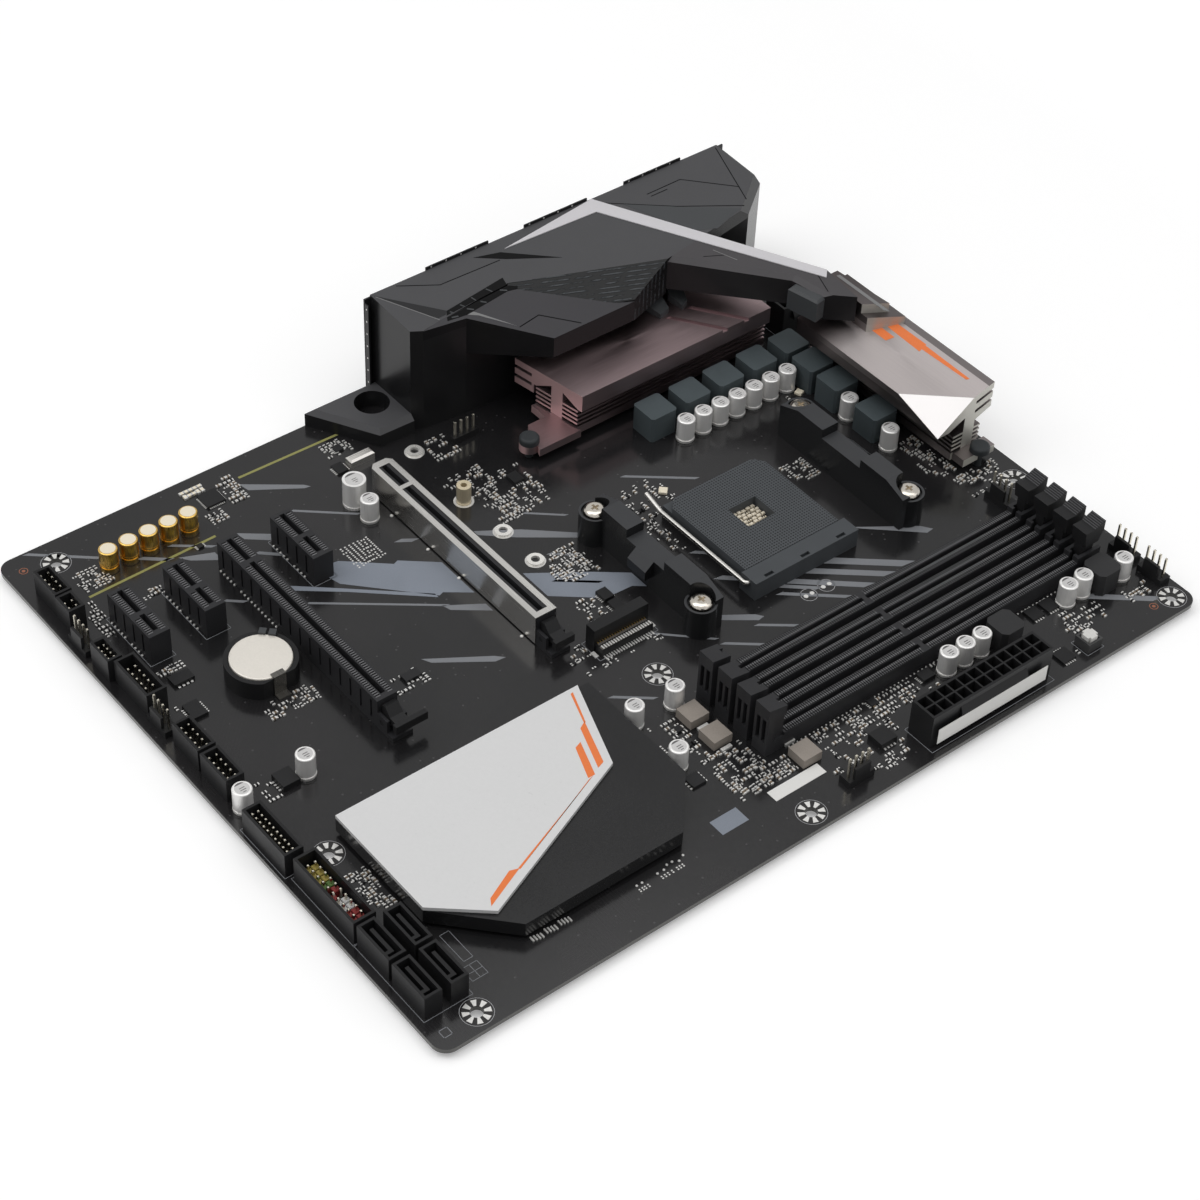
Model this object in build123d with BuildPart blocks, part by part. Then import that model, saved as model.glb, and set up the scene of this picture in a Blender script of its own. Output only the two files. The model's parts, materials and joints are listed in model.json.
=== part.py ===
from build123d import *
import os

os.makedirs("parts", exist_ok=True)

# ---------------------------------------------------------------- driving dimensions (mm)
# Board coordinates: x from the rear (port) edge towards the front edge, y from the lower
# (header) edge towards the top edge, z up from the underside of the board.
# The part's origin is the datum mounting hole, on the underside of the board.

# Board outline and the standard full-size mounting hole pattern
board_t = 1.6
board_corner_r = 5.0
datum_x = 10.16
datum_y = 16.51
hole_r = 1.98
hole_mid_dx = 154.94
hole_front_dx = 227.33
hole_mid_dy = 124.46
hole_top_dy = 281.94
hole_top_rear_dx = 22.86
tail_drop = 2.0
lead_r = 0.45
lead_clearance = 0.15

# Layout: the board is as deep and as long as the rows of pieces on it, side by side
slot_low_y = 20.5
slot_pitch = 20.32
slot_rows = 5
socket_from_slot = 87.6
top_from_socket = 95.1
dimm_length = 144.9
memory_mid_from_socket = 7.35
rear_sink_x1 = 63.2
choke_w = 11.0
choke_from_sink = 3.3
can_r = 3.15
can_from_choke = 1.45
socket_from_can = 47.9
memory_from_cpu = 52.7
dimm_pitch = 8.77
dimm_count = 4
power_from_memory = 25.59
front_from_power = 9.24
slot_first_y = slot_low_y + slot_rows * slot_pitch
choke_column_x = rear_sink_x1 + choke_from_sink + choke_w / 2
vrm_can_x = choke_column_x + choke_w / 2 + can_from_choke + can_r
cpu_x = vrm_can_x + socket_from_can
dimm_first_x = cpu_x + memory_from_cpu
dimm_last_x = dimm_first_x + (dimm_count - 1) * dimm_pitch
cpu_y = slot_first_y + socket_from_slot
dimm_y0 = cpu_y + memory_mid_from_socket - dimm_length / 2
atx_x = dimm_last_x + power_from_memory
board_depth = atx_x + front_from_power
board_length = cpu_y + top_from_socket

# Processor socket
socket_slider_w = 40.6
socket_base_h = 4.6
socket_slider_t = 2.3
socket_window_x = 10.4
socket_window_y = 11.6
socket_border = 1.2
socket_chamfer = 3.6
cam_w = 7.2
cam_gap = 0.4
cam_overhang = 2.0
cam_cover_rise = 0.3
lever_wire_r = 0.85
lever_run_clearance = 0.08
lever_end_clearance = 1.0
cam_pocket_shares = (0.15, 0.5, 0.85)
cam_pocket_inset = 1.4
cam_pocket_w = 1.3
cam_pocket_l = 3.6
cam_pocket_d = 1.0
lever_reach = 52.0
lever_kink = 1.0
lever_kink_run = 9.0
lever_axis_h = 5.5
lever_side_gap = 0.25

# Cooler brackets, 54 x 90 mm screw pattern
bracket_screw_dx = 54.0
bracket_screw_dy = 90.0
bracket_t = 7.2
bracket_inset = 2.6
bracket_post_r = 5.4
bracket_post_h = 10.0
bracket_rim_h = 1.4
bracket_rim_t = 0.8
bracket_end_l = 3.6
bracket_end_h = 13.0
bracket_pad_h = 16.2
bracket_saddle_h = 12.6
bracket_pad_l = 12.5
bracket_saddle_l = 19.0
bracket_lug_l = 9.0
bracket_lug_out = 3.4
bracket_lug_h = 3.6
bracket_lug_z = 6.0
screw_shank_r = 1.7
screw_clearance = 0.2
screw_head_r = 3.9
screw_head_h = 2.9
screw_recess_r = 1.5
screw_recess_d = 1.3
backplate_margin = 7.0
backplate_window = 27.0
backplate_sleeve_r = 3.0
backplate_sleeve_clearance = 0.2

# Memory slots
dimm_w = 6.4
dimm_body_h = 6.4
dimm_tower_l = 7.2
dimm_tower_h = 19.6
dimm_tower_drop = 1.2
dimm_cap_h = 5.0
dimm_foot_h = 5.2
dimm_corner_w = 1.1
dimm_corner_l = 2.6
dimm_rib_w = 1.0
dimm_end_recess = 1.6
dimm_side_recess = 0.9
dimm_far_l = 10.4
dimm_cheek_h = 8.6
dimm_slot_w = 1.5
dimm_slot_depth = 4.6
dimm_card_l = 133.35
dimm_key_y = dimm_y0 + 67.4
dimm_key_l = 1.6
dimm_latch_w = 3.4
dimm_latch_clearance = 0.25
dimm_latch_top_w = 6.2
dimm_latch_h = 19.9
dimm_latch_neck_h = 12.0
dimm_pivot_h = 5.0
dimm_pivot_r = 1.0
pivot_clearance = 0.08

# Expansion slots
slot_x0 = 43.0
slot_w = 7.5
slot_h = 11.25
slot_short_l = 25.0
slot_long_l = 89.0
slot_end_wall = 1.1
slot_key_x = 13.6
slot_key_l = 1.75
slot_peg_inset = 3.0
slot_rib_base = 3.6
slot_groove_w = 1.8
slot_groove_depth = 7.5
slot_rib_pitch = 5.5
slot_rib_w = 1.0
slot_rib_depth = 0.45
slot_foot_l = 8.0
slot_foot_h = 1.6
slot_ear_l = 5.0
slot_ear_h = 6.4
slot_ear_t = 1.1
armor_t = 0.35
armor_clearance = 0.05
armor_end_gap = 1.2
armor_window_w = 4.2
armor_corner = 1.6
armor_lift = 0.6
slot_latch_clearance = 0.25
slot_latch_pivot_dx = 2.2
slot_latch_pivot_h = 3.9
slot_latch_pivot_r = 0.9
slot_latch_reach = 10.0
slot_latch_bar_t = 1.8
slot_latch_bar_outs = (3.75, 8.0)
slot_latch_bar_h = 3.0

# M.2 connector and its standoffs
m2_x0 = 141.2
m2_y = slot_first_y + 19.8
m2_l = 21.8
m2_d = 4.2
m2_h = 8.8
m2_step_d = 3.6
m2_step_h = 3.0
m2_step_inset = 0.6
m2_end_wall = 1.0
m2_slot_h = 1.2
m2_slot_depth = 3.2
m2_slot_drop = 0.6
standoff_x = 63.6
standoff_y = slot_first_y + 18.5
standoff_r = 2.5
standoff_h = 7.2
standoff_bore_r = 1.1
ring_xs = (33.5, 83.5, 101.0)
ring_y = slot_first_y + 19.9
ring_r = 2.9
ring_h = 0.9
ring_bore_r = 1.5

# Chipset and its cooler
chipset_chip_x = board_depth - 53.84
chipset_chip_y = 70.0
chipset_chip_w = 21.0
chipset_sink_h = 6.7
chipset_sink_cavity = 1.0
chipset_plate_t = 1.3
chipset_x0 = board_depth - 83.84
chipset_x1 = board_depth - 18.84
chipset_y0 = 22.7
chipset_y1 = 117.0
chipset_corner_x = 21.5
chipset_corner_y = 20.3
chipset_top_corner_x = 18.0
chipset_top_corner_y = 16.0
chipset_plate_left_y = 112.7
chipset_plate_apex_x = board_depth - 51.84
chipset_plate_apex_y = 101.0
chipset_plate_tip_x = board_depth - 26.54
chipset_plate_tip_y = 39.0
chipset_foot_h = 1.4
chipset_foot_r = 2.2
chipset_foot_inset = 5.0
chipset_rim = 3.0
chipset_chip_margin = 3.0

# Voltage regulator: chokes, power stages, pads and heatsinks
choke_h = 10.0
choke_edge = 0.8
choke_column_y = cpu_y + 6.1
choke_column_pitch = 15.3
choke_column_count = 4
choke_row_y = board_length - 27.8
choke_row_x = choke_column_x - 0.4
choke_row_pitch = 12.9
choke_row_count = 3
choke_last_x = choke_column_x + 45.2
stage_w = 6.0
pad_side = 1.0
stage_l = 5.0
stage_t = 1.5
pad_t = 1.5
sink_base_t = 3.0
rear_sink_x0 = 33.0
rear_sink_y0 = cpu_y - 24.7
rear_sink_y1 = cpu_y + 65.3
rear_sink_top_h = 20.4
rear_sink_side_h = 6.6
rear_sink_skew = 5.6
core_x = 52.0
core_w = 18.6
stem_w = 5.0
cavity_drop = 3.0
rear_foot_x0 = 50.4
rear_foot_inset = 1.0
rear_foot_y0 = rear_sink_y0 - 12.2
rear_foot_y1 = rear_sink_y0 - 7.4
rear_pin_x = 57.6
rear_pin_y = rear_sink_y0 - 12.4
plate_t = 2.6
plate_slot_t = 1.3
plate_slot_l = 7.6
fin_t = 0.8
fin_gap = 1.0
fin_count = 4
top_sink_x0 = 75.0
top_sink_x1 = 147.0
top_sink_y0 = board_length - 28.0
top_sink_y1 = board_length - 3.6
top_sink_front_h = 22.4
top_sink_rear_h = 29.4
top_sink_side_h = 6.2
top_sink_core_y0 = board_length - 20.3
top_sink_stem_y = board_length - 13.2
top_sink_facet_x = 126.6
top_sink_facet_y = board_length - 12.8
top_sink_foot_l = 5.4
top_sink_foot_inset = 1.0
top_sink_core_inset = 4.0
top_sink_step_inset = 2.0
top_pin_x = 151.6
top_pin_y = board_length - 11.0
step_y = board_length - 17.0
step_low_x = 104.8
step_low_slope = 7.0
step_low_h = 31.6
step_high_x = 99.5
step_high_slope = 5.0
step_high_h = 35.4
step_high_y = board_length - 8.8
sink_groove_w = 2.4
sink_groove_d = 1.2
sink_groove_rise = 12.0
sink_groove_l = 17.0
sink_groove_ys = (240.8, 250.6)
pin_head_r = 3.5
pin_head_h = 2.6
pin_shank_r = 1.3
pin_clearance = 0.2

# Capacitors and inductors
can_h = 9.0
big_can_r = 4.0
big_can_h = 10.6
can_foot_h = 1.0
can_neck_h = 0.6
can_neck_depth = 0.25
can_edge = 0.5
vrm_can_y = cpu_y + 11.7
vrm_can_pitch = 7.68
vrm_can_count = 7
audio_can_x = 21.5
audio_can_y = 29.7
audio_can_pitch = 7.54
audio_can_count = 5
audio_can_h = 7.6
power_choke_w = 9.8
power_choke_h = 8.6
power_choke_edge = 1.6
power_choke_spots = ((dimm_last_x + 10.19, cpu_y + 29.3), (dimm_last_x + 9.79, board_length - 21.2))
inductor_w = 7.3
inductor_h = 3.4
inductor_spots = (
    (dimm_first_x + 3.6, dimm_y0 - 7.3),
    (dimm_first_x + 14.6, dimm_y0 - 7.3),
    (dimm_last_x + 10.29, dimm_y0 + 9.8),
)
can_spots = (
    (cpu_x - 23.4, board_length - 30.2),
    (cpu_x - 2.9, board_length - 30.0),
    (dimm_last_x + 9.29, cpu_y + 19.8),
    (dimm_last_x + 9.29, cpu_y + 12.6),
    (dimm_last_x + 9.29, cpu_y + 5.4),
    (dimm_last_x + 9.39, board_length - 29.5),
    (dimm_last_x + 9.59, board_length - 36.6),
    (dimm_last_x + 11.49, board_length - 12.9),
    (52.2, slot_first_y - 11.6),
    (135.0, 29.1),
    (135.6, 6.4),
    (dimm_first_x - 4.2, dimm_y0 - 8.2),
    (board_depth - 66.14, slot_first_y - 1.1),
    (board_depth - 44.64, slot_first_y - 1.4),
)
big_can_x = 43.0
big_can_y = slot_first_y - 11.3

# Power connectors
atx_y = cpu_y + 3.8
atx_cells = 12
atx_h = 12.8
cell_pitch = 4.2
cell_w = 3.6
cell_wall = 0.6
cell_depth = 10.6
latch_rail_share = 0.55
latch_rail_t = 1.4
latch_rail_h = 4.0
latch_rail_drop = 1.6
contact_w = 1.0
contact_h = 7.0
eps_x = 55.0
eps_y = board_length - 10.6
eps_cells = 4

# Coin cell and holder
cell_x = 91.5
cell_y = 42.0
coin_r = 10.0
coin_t = 3.2
coin_top_h = 7.4
holder_wall = 1.5
holder_fit = 0.25
holder_rim = 0.5
clip_w = 4.4
clip_t = 0.5
clip_lip = 1.4
clip_foot_l = 3.0
coin_edge = 0.4

# Headers along the lower edge: x start, x end, y start, y end, pin pitch
header_h = 8.9
header_wall = 0.9
header_floor = 2.0
pin_w = 0.64
header_pin_h = 7.6
small_headers = (
    (18.3, 31.8, 4.4, 10.4, 2.54),
    (32.6, 41.0, 4.0, 9.8, 2.54),
    (56.5, 67.0, 2.2, 7.4, 2.0),
    (67.8, 86.8, 3.9, 11.1, 2.54),
    (101.0, 115.2, 4.0, 10.4, 2.54),
    (116.4, 130.6, 4.0, 10.4, 2.54),
)
small_header_counts = (5, 2, 4, 5, 5, 5)
wide_header = (142.6, 165.0, 1.6, 8.2, 2.0)
wide_header_count = 10
panel_header = (167.2, 197.4, 3.1, 10.9, 2.54)
panel_header_count = 10
fan_base_h = 2.5
fan_w = 10.4
fan_d = 4.6
fan_wall_t = 1.0
fan_wall_h = 7.0
fan_pin_pitch = 2.54
fan_pin_h = 10.4
fan_spots = (
    (92.6, 5.4),
    (48.5, 4.0),
    (dimm_first_x - 12.7, board_length - 18.3),
    (board_depth - 30.24, board_length - 3.8),
    (board_depth - 17.24, board_length - 3.8),
)
fan_side_spots = ((board_depth - 8.84, cpu_y - 48.2),)
strip_w = 10.2
strip_d = 2.5
strip_pin_h = 8.6
strip_x = 37.2
strip_y = cpu_y - 49.5

# SATA ports
sata_l = 15.5
sata_d = 6.1
sata_h = 8.8
sata_lead_in = 1.0
sata_pitch_x = 17.0
sata_pitch_y = 9.1
sata_x = board_depth - 37.64
sata_y = 6.5
sata_wall = 0.9
sata_depth = 6.4
sata_tongue_t = 1.2
sata_tongue_l = 10.4
sata_key_l = 1.6

# Rear port block
shield_t = 0.6
shield_l = 158.75
shield_end_gap = 0.15
shield_y0 = board_length - shield_l - shield_end_gap
shield_z0 = -0.64
shield_h = 44.45
port_overhang = 2.0
tab_back = 6.0
tab_side = 1.0
port_gap = 0.5
jack_y = shield_y0 + 11.0
jack_pitch_y = 14.2
jack_columns = 2
jack_rows = 3
jack_w = 12.4
jack_d = 14.0
jack_pitch_z = 10.8
jack_bore_r = 1.8
jack_bore_depth = 11.0
jack_barrel_r = 4.2
usb_w = 14.4
usb_d = 20.0
usb_mouth_w = 12.6
usb_mouth_h = 5.2
usb_depth = 12.0
usb_tongue_t = 1.8
usb_tongue_w = 11.0
usb_tongue_back = 1.2
usb_pitch_z = 8.2
usb_rows = 2
usb_ys = (shield_y0 + 66.5, shield_y0 + 106.1, shield_y0 + 130.1)
lan_y = shield_y0 + 46.1
lan_w = 16.2
lan_d = 22.0
lan_h = 13.4
lan_mouth_w = 11.8
lan_mouth_h = 8.2
lan_mouth_depth = 13.0
lan_notch_w = 4.4
lan_notch_h = 2.2
video_y = shield_y0 + 86.3
video_w = 16.4
video_d = 14.0
video_pitch_z = 9.0
video_rows = 2
video_mouth_w = 14.0
video_mouth_h = 4.4
video_depth = 8.0
video_tongue_t = 1.4
video_tongue_w = 11.6
ps2_w = 14.2
ps2_d = 14.0
ps2_ring_r = 4.9
ps2_core_r = 4.1
ps2_ring_depth = 5.0
shield_vent_pitch = 3.0
shield_vent_r = 0.9

# Cover over the rear ports: corners in plan, heights above the board
cover_wall = 2.0
cover_y0 = shield_y0 + 2.3
cover_end_gap = 1.2
cover_y1 = board_length - cover_end_gap
cover_top_h = 43.4
cover_side_x = 23.0
cover_shoulder_x = 25.2
cover_shoulder_y = shield_y0 + 6.1
cover_front_x = 27.2
cover_front_y = shield_y0 + 22.6
cover_end_x = 22.4
cover_bend_x = 33.8
cover_bend_y = cover_y1 - 15.3
cover_wall_h = 38.0
roof_slope = 0.05
cover_end_drop = 4.0
cover_end_run = 2.2
roof_edge_x = 24.0
roof_edge_y = shield_y0 + 14.1
roof_notch_x = 20.9
roof_notch_y = shield_y0 + 44.9
roof_root_x = 41.0
roof_root_y = shield_y0 + 99.0
beak_x = 46.5
beak_y0 = shield_y0 + 45.1
beak_y1 = shield_y0 + 80.1
beak_tip_h = 34.7
beak_slope = 0.34
beak_low_h = 26.4
crease_x0 = 22.8
crease_y0 = shield_y0 + 42.3
crease_x1 = 44.0
crease_y1 = shield_y0 + 73.0
arm_apex_y = shield_y0 + 97.1
arm_tip_x = 76.7
arm_tip_y = cover_y1 - 16.5
arm_nose_x = 93.5
arm_nose_y = cover_y1 - 17.5
arm_chin_x = 85.8
arm_chin_y = cover_y1 - 26.4
arm_elbow_x = 73.0
arm_elbow_y = cover_y1 - 29.3
arm_low_h = 28.4
arm_edge_run = 2.0
arm_edge_drop = 1.4
stripe_w = 6.0
stripe_tip_w = 3.0
stripe_t = 0.3
stripe_tail_x = 5.6
stripe_tail_y = shield_y0 + 54.9
flange_tip_y = shield_y0 - 25.9
flange_x = 24.6
flange_y = shield_y0 - 11.7
flange_h = 6.9
flange_chamfer = 1.8
flange_recess_r = 6.2

# Flash button
button_x = board_depth - 7.24
button_y = cpu_y + 50.4
button_w = 6.2
button_h = 3.6
button_cap_w = 4.4
button_cap_arm = 2.6
button_cap_rise = 1.4
button_stem_l = 1.0
button_travel_gap = 0.4
button_side_gap = 0.15

# Integrated circuits: x, y, x size, y size, height
chips = (
    (13.5, 73.5, 7.0, 7.0, 1.0),
    (79.0, 20.5, 4.4, 7.2, 1.3),
    (93.2, 16.6, 7.0, 5.2, 1.2),
    (134.0, 22.6, 6.6, 6.1, 2.3),
    (board_depth - 15.64, cpu_y - 31.3, 6.1, 6.6, 2.3),
    (dimm_last_x + 7.49, cpu_y + 52.8, 5.2, 5.0, 1.0),
    (dimm_last_x + 7.49, cpu_y + 46.1, 5.2, 5.0, 1.0),
    (board_depth - 7.84, cpu_y + 40.1, 5.6, 5.6, 1.0),
    (dimm_last_x + 7.19, cpu_y - 1.7, 4.0, 5.0, 1.4),
    (65.0, cpu_y - 48.7, 5.0, 4.0, 1.4),
    (cpu_x - 2.4, cpu_y - 60.0, 4.9, 3.9, 1.5),
    (cpu_x + 3.6, cpu_y - 60.0, 4.9, 3.9, 1.5),
    (26.0, shield_y0 - 29.4, 5.0, 4.0, 0.9),
)

deck = board_t
tail_z = -tail_drop


# ---------------------------------------------------------------- helpers
def spot(x, y, z):
    """A level plane with its origin at a point in board coordinates."""
    return Plane(origin=(x - datum_x, y - datum_y, z))


def slab(x, y, z, size_x, size_y, height, mode=Mode.ADD):
    """An upright block centred on (x, y), standing on height z."""
    with BuildSketch(spot(x, y, z)) as face:
        Rectangle(size_x, size_y)
    extrude(face.sketch, amount=height, mode=mode)


def span(x0, x1, y0, y1, z0, z1, mode=Mode.ADD):
    """An upright block between two corners."""
    slab((x0 + x1) / 2, (y0 + y1) / 2, z0, x1 - x0, y1 - y0, z1 - z0, mode)


def rod(x, y, z, radius, height, mode=Mode.ADD):
    """An upright cylinder centred on (x, y), standing on height z."""
    with BuildSketch(spot(x, y, z)) as face:
        Circle(radius)
    extrude(face.sketch, amount=height, mode=mode)


def prism(points, z0, z1, mode=Mode.ADD):
    """An upright prism over a plan outline in board coordinates."""
    with BuildSketch(spot(0, 0, z0)) as face:
        with BuildLine():
            Polyline(*points, close=True)
        make_face()
    extrude(face.sketch, amount=z1 - z0, mode=mode)


def along_x(points, x0, x1, mode=Mode.ADD):
    """A prism that runs along x, over an outline of (y, z) points."""
    side = Plane(origin=(x0 - datum_x, -datum_y, 0), x_dir=(0, 1, 0), z_dir=(1, 0, 0))
    with BuildSketch(side) as face:
        with BuildLine():
            Polyline(*points, close=True)
        make_face()
    extrude(face.sketch, amount=x1 - x0, mode=mode)


def along_y(points, y0, y1, mode=Mode.ADD):
    """A prism that runs along y, over an outline of (x, z) points."""
    front = Plane(origin=(-datum_x, y1 - datum_y, 0), x_dir=(1, 0, 0), z_dir=(0, -1, 0))
    with BuildSketch(front) as face:
        with BuildLine():
            Polyline(*points, close=True)
        make_face()
    extrude(face.sketch, amount=y1 - y0, mode=mode)


def rod_x(y, z, radius, x0, x1, mode=Mode.ADD):
    """A cylinder that runs along x."""
    side = Plane(origin=(x0 - datum_x, y - datum_y, z), x_dir=(0, 1, 0), z_dir=(1, 0, 0))
    with BuildSketch(side) as face:
        Circle(radius)
    extrude(face.sketch, amount=x1 - x0, mode=mode)


def rod_y(x, z, radius, y0, y1, mode=Mode.ADD):
    """A cylinder that runs along y."""
    front = Plane(origin=(x - datum_x, y1 - datum_y, z), x_dir=(1, 0, 0), z_dir=(0, -1, 0))
    with BuildSketch(front) as face:
        Circle(radius)
    extrude(face.sketch, amount=y1 - y0, mode=mode)


def lean_prism(points, reach, way, inset=0.0, mode=Mode.ADD):
    """A prism off a leaning outline of (x, y, z) points, run along a given direction."""
    corners = [Vector(x - datum_x, y - datum_y, z) for x, y, z in points]
    first = corners[1] - corners[0]
    second = corners[2] - corners[0]
    face_plane = Plane(origin=corners[0], x_dir=first, z_dir=first.cross(second))
    flat = [face_plane.to_local_coords(corner) for corner in corners]
    with BuildSketch(face_plane) as face:
        with BuildLine():
            Polyline(*[(corner.X, corner.Y) for corner in flat], close=True)
        make_face()
        if inset:
            offset(amount=-inset, kind=Kind.INTERSECTION)
    extrude(face.sketch, amount=reach, dir=way, mode=mode)


def leads(spots, z1=deck):
    """Soldered leads from the underside of a connector down through the board."""
    with BuildSketch(spot(0, 0, tail_z)) as face:
        with Locations(*spots):
            Circle(lead_r)
    extrude(face.sketch, amount=z1 - tail_z)


def is_front_rim(edge):
    """True for the edges along the front of the bridge arm, from its root to its chin."""
    middle = edge.center() + Vector(datum_x, datum_y, 0)
    return roof_root_x < middle.X < arm_chin_x and middle.Y < arm_chin_y


def write(piece, name):
    """Label one finished piece and write it as its own file."""
    piece.label = name
    export_step(piece, f"parts/{name}.step")


# ---------------------------------------------------------------- shared layout
bracket_xs = (cpu_x - bracket_screw_dx / 2, cpu_x + bracket_screw_dx / 2)
bracket_ys = (cpu_y - bracket_screw_dy / 2, cpu_y + bracket_screw_dy / 2)
cooler_spots = [(x, y) for x in bracket_xs for y in bracket_ys]
hole_spots = (
    (datum_x, datum_y),
    (datum_x + hole_mid_dx, datum_y),
    (datum_x + hole_front_dx, datum_y),
    (datum_x, datum_y + hole_mid_dy),
    (datum_x + hole_mid_dx, datum_y + hole_mid_dy),
    (datum_x + hole_front_dx, datum_y + hole_mid_dy),
    (datum_x + hole_top_rear_dx, datum_y + hole_top_dy),
    (datum_x + hole_mid_dx, datum_y + hole_top_dy),
    (datum_x + hole_front_dx, datum_y + hole_top_dy),
)
dimm_xs = [dimm_first_x + dimm_pitch * n for n in range(dimm_count)]
long_slot_ys = (slot_first_y, slot_first_y - 3 * slot_pitch)
short_slot_ys = (
    slot_first_y - 2 * slot_pitch,
    slot_first_y - 4 * slot_pitch,
    slot_first_y - 5 * slot_pitch,
)


def cell_spots(x, y, cells):
    """Centres of a two-row power connector's cells."""
    rows = (x - cell_pitch / 2, x + cell_pitch / 2)
    first = y - cell_pitch * (cells - 1) / 2
    return [(row, first + cell_pitch * n) for row in rows for n in range(cells)]


atx_leads = cell_spots(atx_x, atx_y, atx_cells)
eps_leads = cell_spots(eps_x, eps_y, eps_cells)
dimm_leads = [(x, dimm_y0 + share * dimm_length) for x in dimm_xs for share in (0.03, 0.5, 0.9)]


def slot_leads(y, length):
    """Locating pegs under an expansion slot."""
    return [(slot_x0 + slot_key_x, y), (slot_x0 + length - slot_peg_inset, y)]


pcie_leads = []
for row_y in long_slot_ys:
    pcie_leads += slot_leads(row_y, slot_long_l)
for row_y in short_slot_ys:
    pcie_leads += slot_leads(row_y, slot_short_l)


def paired_leads(y, width, depth):
    """Shell tabs on both sides of a port."""
    return [(depth - tab_back, y - width / 2 + tab_side), (depth - tab_back, y + width / 2 - tab_side)]


jack_ys = [jack_y + jack_pitch_y * n for n in range(jack_columns)]
jack_leads = [(jack_d - 3.0, y) for y in jack_ys]
usb_leads = [lead for y in usb_ys for lead in paired_leads(y, usb_w, usb_d)]
lan_leads = paired_leads(lan_y, lan_w, lan_d)
video_leads = paired_leads(video_y, video_w, video_d)
port_leads = jack_leads + usb_leads + lan_leads + video_leads

# Push pins that hold the two regulator heatsinks
rear_pin_spots = ((rear_pin_x, rear_pin_y),)
top_pin_spots = ((top_pin_x, top_pin_y),)

# ---------------------------------------------------------------- circuit board
with BuildPart() as pcb:
    with BuildSketch(spot(board_depth / 2, board_length / 2, 0)):
        RectangleRounded(board_depth, board_length, board_corner_r)
    extrude(amount=board_t)
    with BuildSketch(spot(0, 0, 0)):
        with Locations(*hole_spots):
            Circle(hole_r)
        with Locations(*cooler_spots):
            Circle(backplate_sleeve_r + backplate_sleeve_clearance)
        with Locations(*atx_leads, *eps_leads, *dimm_leads, *pcie_leads, *port_leads):
            Circle(lead_r + lead_clearance)
        with Locations(*rear_pin_spots, *top_pin_spots):
            Circle(pin_shank_r + pin_clearance)
    extrude(amount=board_t, mode=Mode.SUBTRACT)
write(pcb.part, "pcb")

# ---------------------------------------------------------------- processor socket
slider_z = deck + socket_base_h
slider_top = slider_z + socket_slider_t
slider_x1 = cpu_x + socket_slider_w / 2
slider_y0 = cpu_y - socket_slider_w / 2
slider_y1 = cpu_y + socket_slider_w / 2
cam_x0 = slider_x1 + cam_gap
cam_x1 = cam_x0 + cam_w
cam_y0 = slider_y0 - cam_overhang
cam_y1 = slider_y1 + cam_overhang
lever_x = cam_x0 + cam_w / 2
lever_z = deck + lever_axis_h
lever_y = cam_y0 - lever_side_gap - lever_wire_r
lever_shaft_l = socket_slider_w / 2

with BuildPart() as cpu_socket_base:
    slab(cpu_x, cpu_y, deck, socket_slider_w + 2 * socket_border, socket_slider_w, socket_base_h)
    span(slider_x1, cam_x1, cam_y0, cam_y1, deck, slider_z)
    span(cam_x0, cam_x1, cam_y0, cam_y1, slider_z, slider_top + cam_cover_rise)
    slab(cpu_x, cpu_y, deck, socket_window_x, socket_window_y, socket_base_h, Mode.SUBTRACT)
    rod_y(lever_x, lever_z, lever_wire_r + lever_run_clearance,
          cam_y0, lever_y + lever_shaft_l + lever_end_clearance, Mode.SUBTRACT)
    for share in cam_pocket_shares:
        pocket_y = cam_y0 + share * (cam_y1 - cam_y0)
        slab(cam_x1 - cam_pocket_inset, pocket_y, slider_top - cam_pocket_d,
             cam_pocket_w, cam_pocket_l, 2 * cam_pocket_d, Mode.SUBTRACT)
write(cpu_socket_base.part, "cpu_socket_base")

with BuildPart() as cpu_socket_slider:
    slab(cpu_x, cpu_y, slider_z, socket_slider_w, socket_slider_w, socket_slider_t)
    rear_corners = cpu_socket_slider.edges().filter_by(Axis.Z).group_by(Axis.X)[0]
    chamfer(rear_corners, length=socket_chamfer)
    slab(cpu_x, cpu_y, slider_z, socket_window_x, socket_window_y, socket_slider_t, Mode.SUBTRACT)
write(cpu_socket_slider.part, "cpu_socket_slider")

with BuildPart() as cpu_socket_lever:
    with BuildLine() as lever_path:
        FilletPolyline(
            (lever_x - datum_x, lever_y + lever_shaft_l - datum_y, lever_z),
            (lever_x - datum_x, lever_y - datum_y, lever_z),
            (lever_x - lever_reach + lever_kink_run - datum_x, lever_y - datum_y, lever_z),
            (lever_x - lever_reach - datum_x, lever_y + lever_kink - datum_y, lever_z + lever_kink),
            radius=lever_wire_r + lever_side_gap,
        )
    with BuildSketch(Plane(origin=lever_path.line @ 0, z_dir=lever_path.line % 0)):
        Circle(lever_wire_r)
    sweep()
write(cpu_socket_lever.part, "cpu_socket_lever")

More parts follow.
